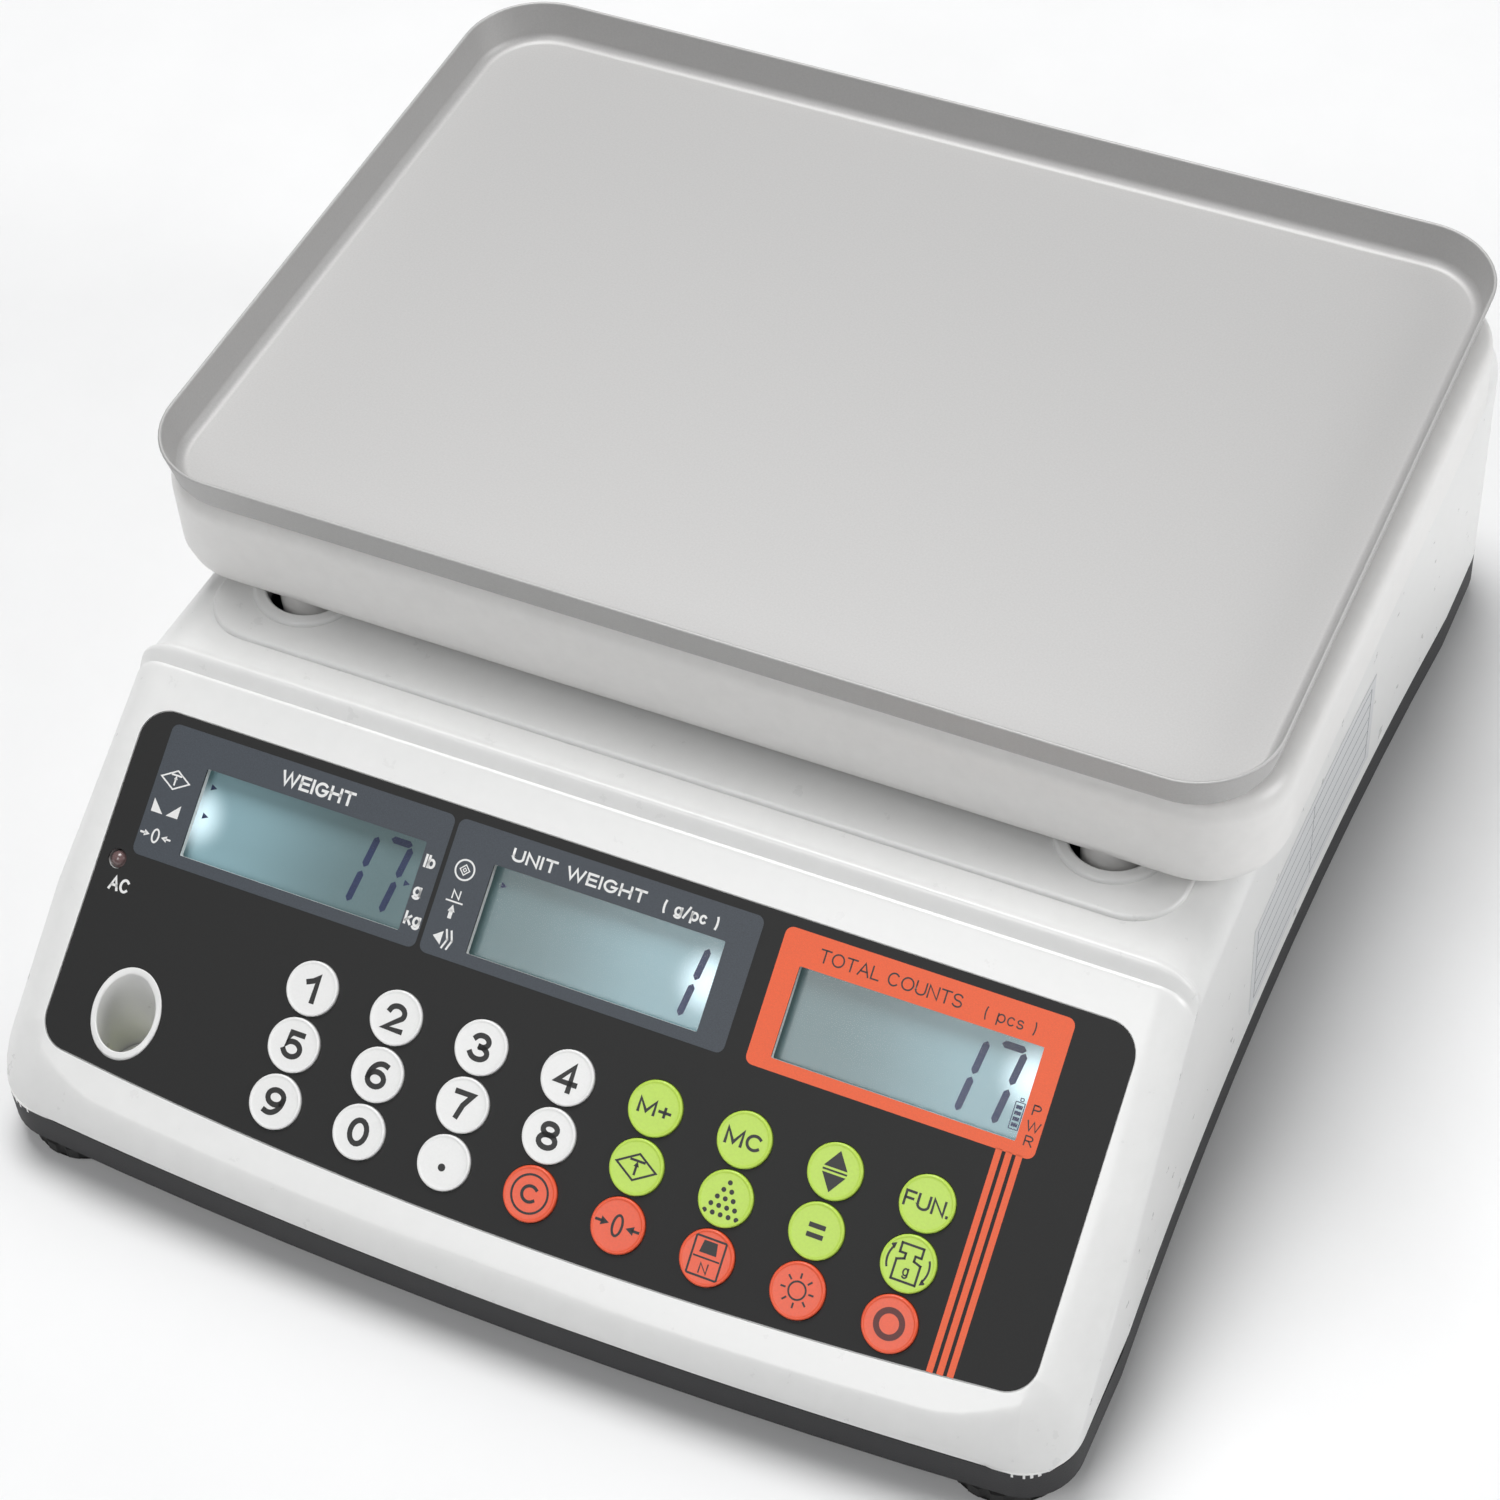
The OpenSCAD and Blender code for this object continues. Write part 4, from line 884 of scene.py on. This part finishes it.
def make_panel_print():
    white = Drawing("print_white", "white", "base", PANEL, high=0.05)
    white.text("WEIGHT", -81.9, -22.75, 3.7, 20.6, 0.19)
    white.text("UNIT WEIGHT", -9.8, -22.95, 3.2, 36.0, 0.19)
    white.text("( g/pc )", 20.2, -23.2, 3.0, 14.6, 0.19)
    for words, u, v, cap, width in (("lb", -47.6, 31.1, 3.3, 3.0), ("g", -48.4, 38.6, 3.3, 2.2),
                                    ("kg", -47.3, 45.6, 3.3, 4.4)):
        white.text(words, u, -v, cap, width, 0.19)
    white.text("AC", -124.9, -60.9, 3.6, 5.8, 0.18)
    u, y = -119.4, -31.9
    white.diamond(u, y, 8.7, 5.2, 0.45)
    white.bar(u - 1.5, y + 1.2, u + 1.5, y + 1.2, 0.45)
    white.arrow(u, y - 1.4, u, y + 1.1, 0.45, 1.1)
    for s in (-1, 1):
        white.shape([(u + s * 3.8, -37.6), (u + s * 3.8, -41.0), (u + s * 0.5, -41.0)])
    white.zero_mark(-119.8, -46.6, 8.7, 3.8, 0.5)
    u, y = -38.3, -30.3
    white.ring(u, y, 2.7, 2.25)
    white.diamond(u, y, 3.0, 3.0, 0.4)
    white.diamond(u, y, 1.3, 1.3, 0.3)
    u = -38.4
    white.text("N", u, -36.6, 2.3, 2.2, 0.16)
    white.bar(u - 2.3, -38.4, u + 2.3, -38.4, 0.4)
    white.arrow(u, -42.6, u, -39.1, 1.0, 2.0)
    u, y = -38.3, -47.6
    white.shape([(u - 2.7, y), (u - 0.3, y - 1.7), (u - 0.3, y + 1.7)])
    for k in (0, 1.3):
        white.line([(u + 0.4 + k, y + 2.2), (u + 1.2 + k, y), (u + 0.4 + k, y - 2.2)], 0.5)
    white.make()
    black = Drawing("print_black", "black", "base", PANEL, high=0.05)
    black.text("TOTAL COUNTS", 71.9, -22.8, 3.3, 36.4, 0.115)
    black.text("( pcs )", 102.3, -23.2, 2.9, 12.8, 0.115)
    for letter, u, v in (("P", 114.6, 41.1), ("W", 114.9, 44.9), ("R", 114.8, 48.3)):
        black.text(letter, u, -v, 2.5, None, 0.13)
    black.make()


def make_digits():
    """Segments showing on the three displays."""
    for name, node_name, strokes, marks in (
            ("digits_weight", "lcd_weight",
             ((-64.3, 29.4, -65.6, 37.6), (-65.7, 38.5, -67.0, 46.8), (-60.9, 28.9, -54.9, 28.9),
              (-55.0, 29.5, -56.3, 37.6), (-56.4, 38.5, -57.7, 46.8)),
             ((-110.6, 30.9), (-110.5, 38.3), (-53.3, 38.1))),
            ("digits_unit_weight", "lcd_unit_weight",
             ((25.9, 29.8, 24.8, 38.0), (24.7, 38.9, 23.6, 47.2)), ((-28.9, 31.1),)),
            ("digits_total", "lcd_total",
             ((97.7, 29.6, 96.6, 38.0), (96.5, 38.6, 95.4, 47.2), (101.0, 29.0, 107.2, 29.0),
              (107.1, 29.6, 105.9, 37.7), (105.8, 38.7, 104.6, 47.3)), ())):
        digits = Drawing(name, "navy", "base", PANEL, LCD_N - 0.02, LCD_N + 0.03, "lcd")
        for u0, v0, u1, v1 in strokes:
            digits.segment(u0, -v0, u1, -v1, 1.75)
        for u, v in marks:
            digits.shape([(u - 0.8, -v + 0.8), (u - 0.8, -v - 0.8), (u + 0.9, -v)])
        if node_name == "lcd_total":
            digits.frame(109.5, -43.9, 2.5, 6.6, 0.22)
            digits.frame(109.7, -40.0, 1.0, 0.9, 0.22)
            for k in range(4):
                digits.shape([(108.7, -46.5 + 1.4 * k), (110.3, -46.5 + 1.4 * k),
                              (110.3, -45.6 + 1.4 * k), (108.7, -45.6 + 1.4 * k)])
        digits.make()


KEY_CAP_T = 0.12
KEY_RIM = 6.15


def make_keys():
    """Round caps with a fine raised rim, each in place of its CAD node."""
    for name, (u, v) in KEY_AT.items():
        top = KEY_PROUD
        profile = [(0.05, -2.6), (KEY_R - 0.1, -2.6), (KEY_R, -2.5), (KEY_R, top - 0.45)]
        profile += [(KEY_R - 0.4 + x, top - 0.4 + y) for x, y in arc(0, 0, 0.4, 10, 90, 4)]
        profile += [(KEY_RIM + 0.12, top), (KEY_RIM - 0.1, top - 0.08),
                    (KEY_RIM - 0.3, top - KEY_CAP_T)]
        profile += [(KEY_RIM - 2, top - KEY_CAP_T), (0.05, top - KEY_CAP_T)]
        stem = lathe([(2.2, -4.6), (2.2, -2.55)], steps=24)
        ears = prism([(-8.4, -2.5), (8.4, -2.5), (8.4, 2.5), (-8.4, 2.5)], -3.8, -3.0)
        points, faces = merge([lathe(profile, steps=72), stem, ears])
        key = make_object(name + "_cap", points, faces, MATERIALS[SLOT[name]], unit=1)
        key.data.transform(panel_place(u, v))
        weigh_normals(key)
        finish_piece(key, name, SLOT[name], name)


def legend(name, ink="black", suffix="_legend"):
    u, v = KEY_AT[name]
    place = panel_place(u, v, KEY_PROUD - KEY_CAP_T)
    return Drawing(name + suffix, ink, name, place, slot=SLOT[name])


def make_legends():
    worded = {"key_" + digit: (digit, 7.1, None, 0.19) for digit in "1234567890"}
    worded["key_memory_add"] = ("M+", 3.7, 8.7, 0.19)
    worded["key_memory_clear"] = ("MC", 4.1, 9.6, 0.18)
    worded["key_function"] = ("FUN.", 3.8, 11.4, 0.16)
    worded["key_clear"] = ("C", 4.6, None, 0.17)
    for name, (words, cap, width, weight) in worded.items():
        mark = legend(name)
        mark.text(words, 0, 0, cap, width, weight)
        if name == "key_clear":
            mark.ring(0, 0, 4.9, 4.35)
        mark.make()
    mark = legend("key_point")
    mark.disc(0, -1.2, 0.95)
    mark.make()
    mark = legend("key_up_down")
    for s in (-1, 1):
        mark.shape([(-3, s * 0.75), (3, s * 0.75), (0, s * 5.0)])
    mark.bar(-3.1, 0, 3.1, 0, 0.45)
    mark.make()
    mark = legend("key_tare")
    mark.diamond(0, 0, 11.3, 7.0, 0.6)
    mark.bar(-2.0, 1.5, 2.0, 1.5, 0.6)
    mark.arrow(0, -2.0, 0, 1.4, 0.6, 1.5)
    mark.make()
    mark = legend("key_sample")
    for row in range(5):
        for k in range(row + 1):
            mark.disc((k - row / 2) * 2.05, 3.9 - row * 1.95, 0.6, 16)
    mark.make()
    mark = legend("key_equals")
    for y in (-1.15, 1.15):
        mark.bar(-2.1, y, 2.1, y, 1.15)
    mark.make()
    mark = legend("key_units")
    weight_outline = [(-3.0, -4.3), (3.0, -4.3), (3.0, 0.3), (1.2, 0.9), (1.2, 2.1), (2.7, 2.1),
                      (2.7, 4.3), (-2.7, 4.3), (-2.7, 2.1), (-1.2, 2.1), (-1.2, 0.9), (-3.0, 0.3)]
    mark.line(weight_outline, 0.55, closed=True)
    mark.text("g", 0, -1.7, 2.6, 1.5, 0.15)
    mark.bow(0, 0, 5.2, 0.5, 145, 205)
    mark.bow(0, 0, 5.2, 0.5, -35, 25)
    mark.head(-3.9, 3.9, 1.6, 52)
    mark.head(3.9, -3.9, 1.6, 232)
    mark.make()
    mark = legend("key_zero")
    mark.zero_mark(0, 0, 11.6, 5.6, 0.65)
    mark.make()
    mark = legend("key_unit_weight")
    mark.frame(0, 0, 8.2, 9.6, 0.5)
    mark.shape([(-2.2, 0.9), (2.2, 0.9), (1.7, 3.9), (-1.7, 3.9)])
    mark.bar(-3.4, -0.2, 3.4, -0.2, 0.4)
    mark.text("N", 0, -2.6, 2.6, 2.2, 0.13)
    mark.make()
    mark = legend("key_light")
    mark.ring(0, 0, 2.35, 1.9)
    for k in range(8):
        a = math.radians(45 * k)
        mark.bar(2.9 * math.cos(a), 2.9 * math.sin(a), 4.2 * math.cos(a), 4.2 * math.sin(a), 0.45)
    mark.make()
    mark = legend("key_power", "maroon")
    mark.ring(0, 0, 3.85, 2.4)
    mark.make()


def make_vial():
    """Bubble level in the sight tube: case, green liquid, ring mark and bubble."""
    low, high = corners("level_vial")
    r, x, y = (high.x - low.x) / 2, TUBE.x, TUBE.y
    case = make_object("vial_case", *lathe(
        [(0.05, low.z), (r - 0.3, low.z), (r, low.z + 0.3), (r, high.z - 0.3), (r - 0.3, high.z),
         (r - 1.3, high.z), (r - 1.5, high.z - 0.3), (r - 1.5, high.z - 3),
         (0.05, high.z - 3)], x, y),
        MATERIALS["housing"])
    finish_piece(case, "base", "housing", "level_vial")
    bowl = r - 1.55
    dome = [(0.05, high.z - 3.1), (bowl, high.z - 3.1), (bowl, high.z - 1.0)]
    dome += [(bowl * math.sin(a), high.z - 1.0 + 0.7 * math.cos(a))
             for a in map(math.radians, (75, 60, 45, 30, 15, 0.5))]
    finish_piece(make_object("vial_liquid", *lathe(dome, x, y), MATERIALS["vial"]), "base", "vial")
    ring = lathe([(2.9, high.z - 0.5), (3.25, high.z - 0.5), (3.25, high.z - 0.28),
                  (2.9, high.z - 0.22)], x, y, closed=True)
    edge = lathe([(r - 1.9, high.z - 0.9), (r - 1.35, high.z - 0.9), (r - 1.35, high.z + 0.03),
                  (r - 1.9, high.z + 0.03)], x, y, closed=True)
    finish_piece(make_object("vial_rings", *merge([ring, edge]), INK["black"]), "base", "rubber")
    bubble = [(0.05, high.z - 0.6), (1.9, high.z - 0.55), (2.2, high.z - 0.4), (1.9, high.z - 0.22),
              (1.0, high.z - 0.12), (0.05, high.z - 0.1)]
    finish_piece(make_object("vial_bubble", *lathe(bubble, x + 0.3, y + 0.2), MATERIALS["bubble"]),
                 "base", "vial")


def make_label():
    """Blank ruled sticker on the right-hand wall."""
    def patch(y0, y1, z0, z1, low, high, steps=24):
        rings = []
        for k in range(steps + 1):
            y = y0 + (y1 - y0) * k / steps
            x = side_x(y)
            rings.append([(x + low, y, z0), (x + high, y, z0), (x + high, y, z1), (x + low, y, z1)])
        return skin(rings)
    sticker = make_object("side_label", *patch(*LABEL, -0.02, 0.12), INK["label"])
    finish_piece(sticker, "base", "housing")
    y0, y1, z0, z1 = (edge + LABEL_MARGIN * way for edge, way in zip(LABEL, (1, -1, 1, -1)))
    half, low, high = RULE_W / 2, 0.1, 0.15
    rules = [patch(y0, y1, z - half, z + half, low, high)
             for z in (z0 + (z1 - z0) * k / LABEL_ROWS for k in range(LABEL_ROWS + 1))]
    rules += [patch(y - half, y + half, z0, z1, low, high, 2) for y in (y0, (y0 + y1) / 2, y1)]
    finish_piece(make_object("side_label_rules", *merge(rules), INK["grey"]), "base", "housing")


LABEL = (-26.0, 66.0, 24.0, 57.0)
LABEL_MARGIN, LABEL_ROWS, RULE_W = 3, 5, 0.3

# --- Stage ---------------------------------------------------------------------------------------
def light(name, kind, place, aim, power, size=1.0, color=(1, 1, 1)):
    data = bpy.data.lights.new(name, kind)
    data.energy = power
    data.color = color
    if kind == "AREA":
        data.shape = "DISK"
        data.size = size
    lamp = bpy.data.objects.new(name, data)
    bpy.context.scene.collection.objects.link(lamp)
    lamp.location = place
    lamp.rotation_euler = (Vector(aim) - Vector(place)).to_track_quat("-Z", "Y").to_euler()


def make_stage():
    bpy.context.scene.view_settings.view_transform = "Standard"
    floor = make_object("floor", [(-6, -6, 0), (6, -6, 0), (6, 6, 0), (-6, 6, 0)], [(0, 1, 2, 3)],
                        surface("pale_floor", (0.86, 0.86, 0.86), rough=0.7, spread=0.01,
                                size=40), unit=1)
    world = bpy.data.worlds.new("studio")
    world.use_nodes = True
    world.node_tree.nodes["Background"].inputs["Color"].default_value = (0.95, 0.97, 1, 1)
    world.node_tree.nodes["Background"].inputs["Strength"].default_value = 0.17
    bpy.context.scene.world = world
    aim = (0, 0, 0.08)
    light("soft_top", "AREA", (-0.35, 0.38, 2.0), aim, 30, 1.1)
    light("pan_card", "AREA", (-0.66, 1.36, 1.6), aim, 2, 2.0)
    light("soft_right", "AREA", (1.8, 0.3, 0.9), aim, 14, 1.0)
    light("soft_front", "AREA", (-0.3, -1.6, 1.8), aim, 14, 1.2)


def dress_nodes():
    """Gives every CAD node its material and softens the edges that show."""
    for name, piece in frame["nodes"].items():
        piece.data.materials.clear()
        piece.data.materials.append(MATERIALS.get(name) or MATERIALS[SLOT[name]])
        if SLOT[name] in EDGE:
            made = piece.modifiers.new("edges", "BEVEL")
            made.width = EDGE[SLOT[name]] * MM
            made.segments = 3
            made.limit_method = "ANGLE"
            made.angle_limit = math.radians(40)
            weigh_normals(piece)


EDGE = {"base": 0.5, "key_white": 0.25, "key_green": 0.25, "key_red": 0.25, "fastener": 0.15}
# u and v on the panel where each display's painted glow and painted lighter wash are centred
PAINTED_GLOW = {"lcd_weight": (-113.1, 38.9), "lcd_unit_weight": (28.1, 37.6), "lcd_total": (110.6, 34.8)}
MATERIALS.update({name: painted_glow_display_glass(name + "_glass_painted_glow", *at) for name, at in PAINTED_GLOW.items()})
MATERIALS["bubble"] = surface("level_bubble", (0.75, 0.8, 0.45), rough=0.08, size=1,
                              Coat_Weight=0.6)

make_camera()
make_stage()
dress_nodes()
make_housing()
make_pan()
make_carrier()
make_blocks()
make_panel_print()
make_digits()
make_keys()
make_legends()
make_vial()
make_label()
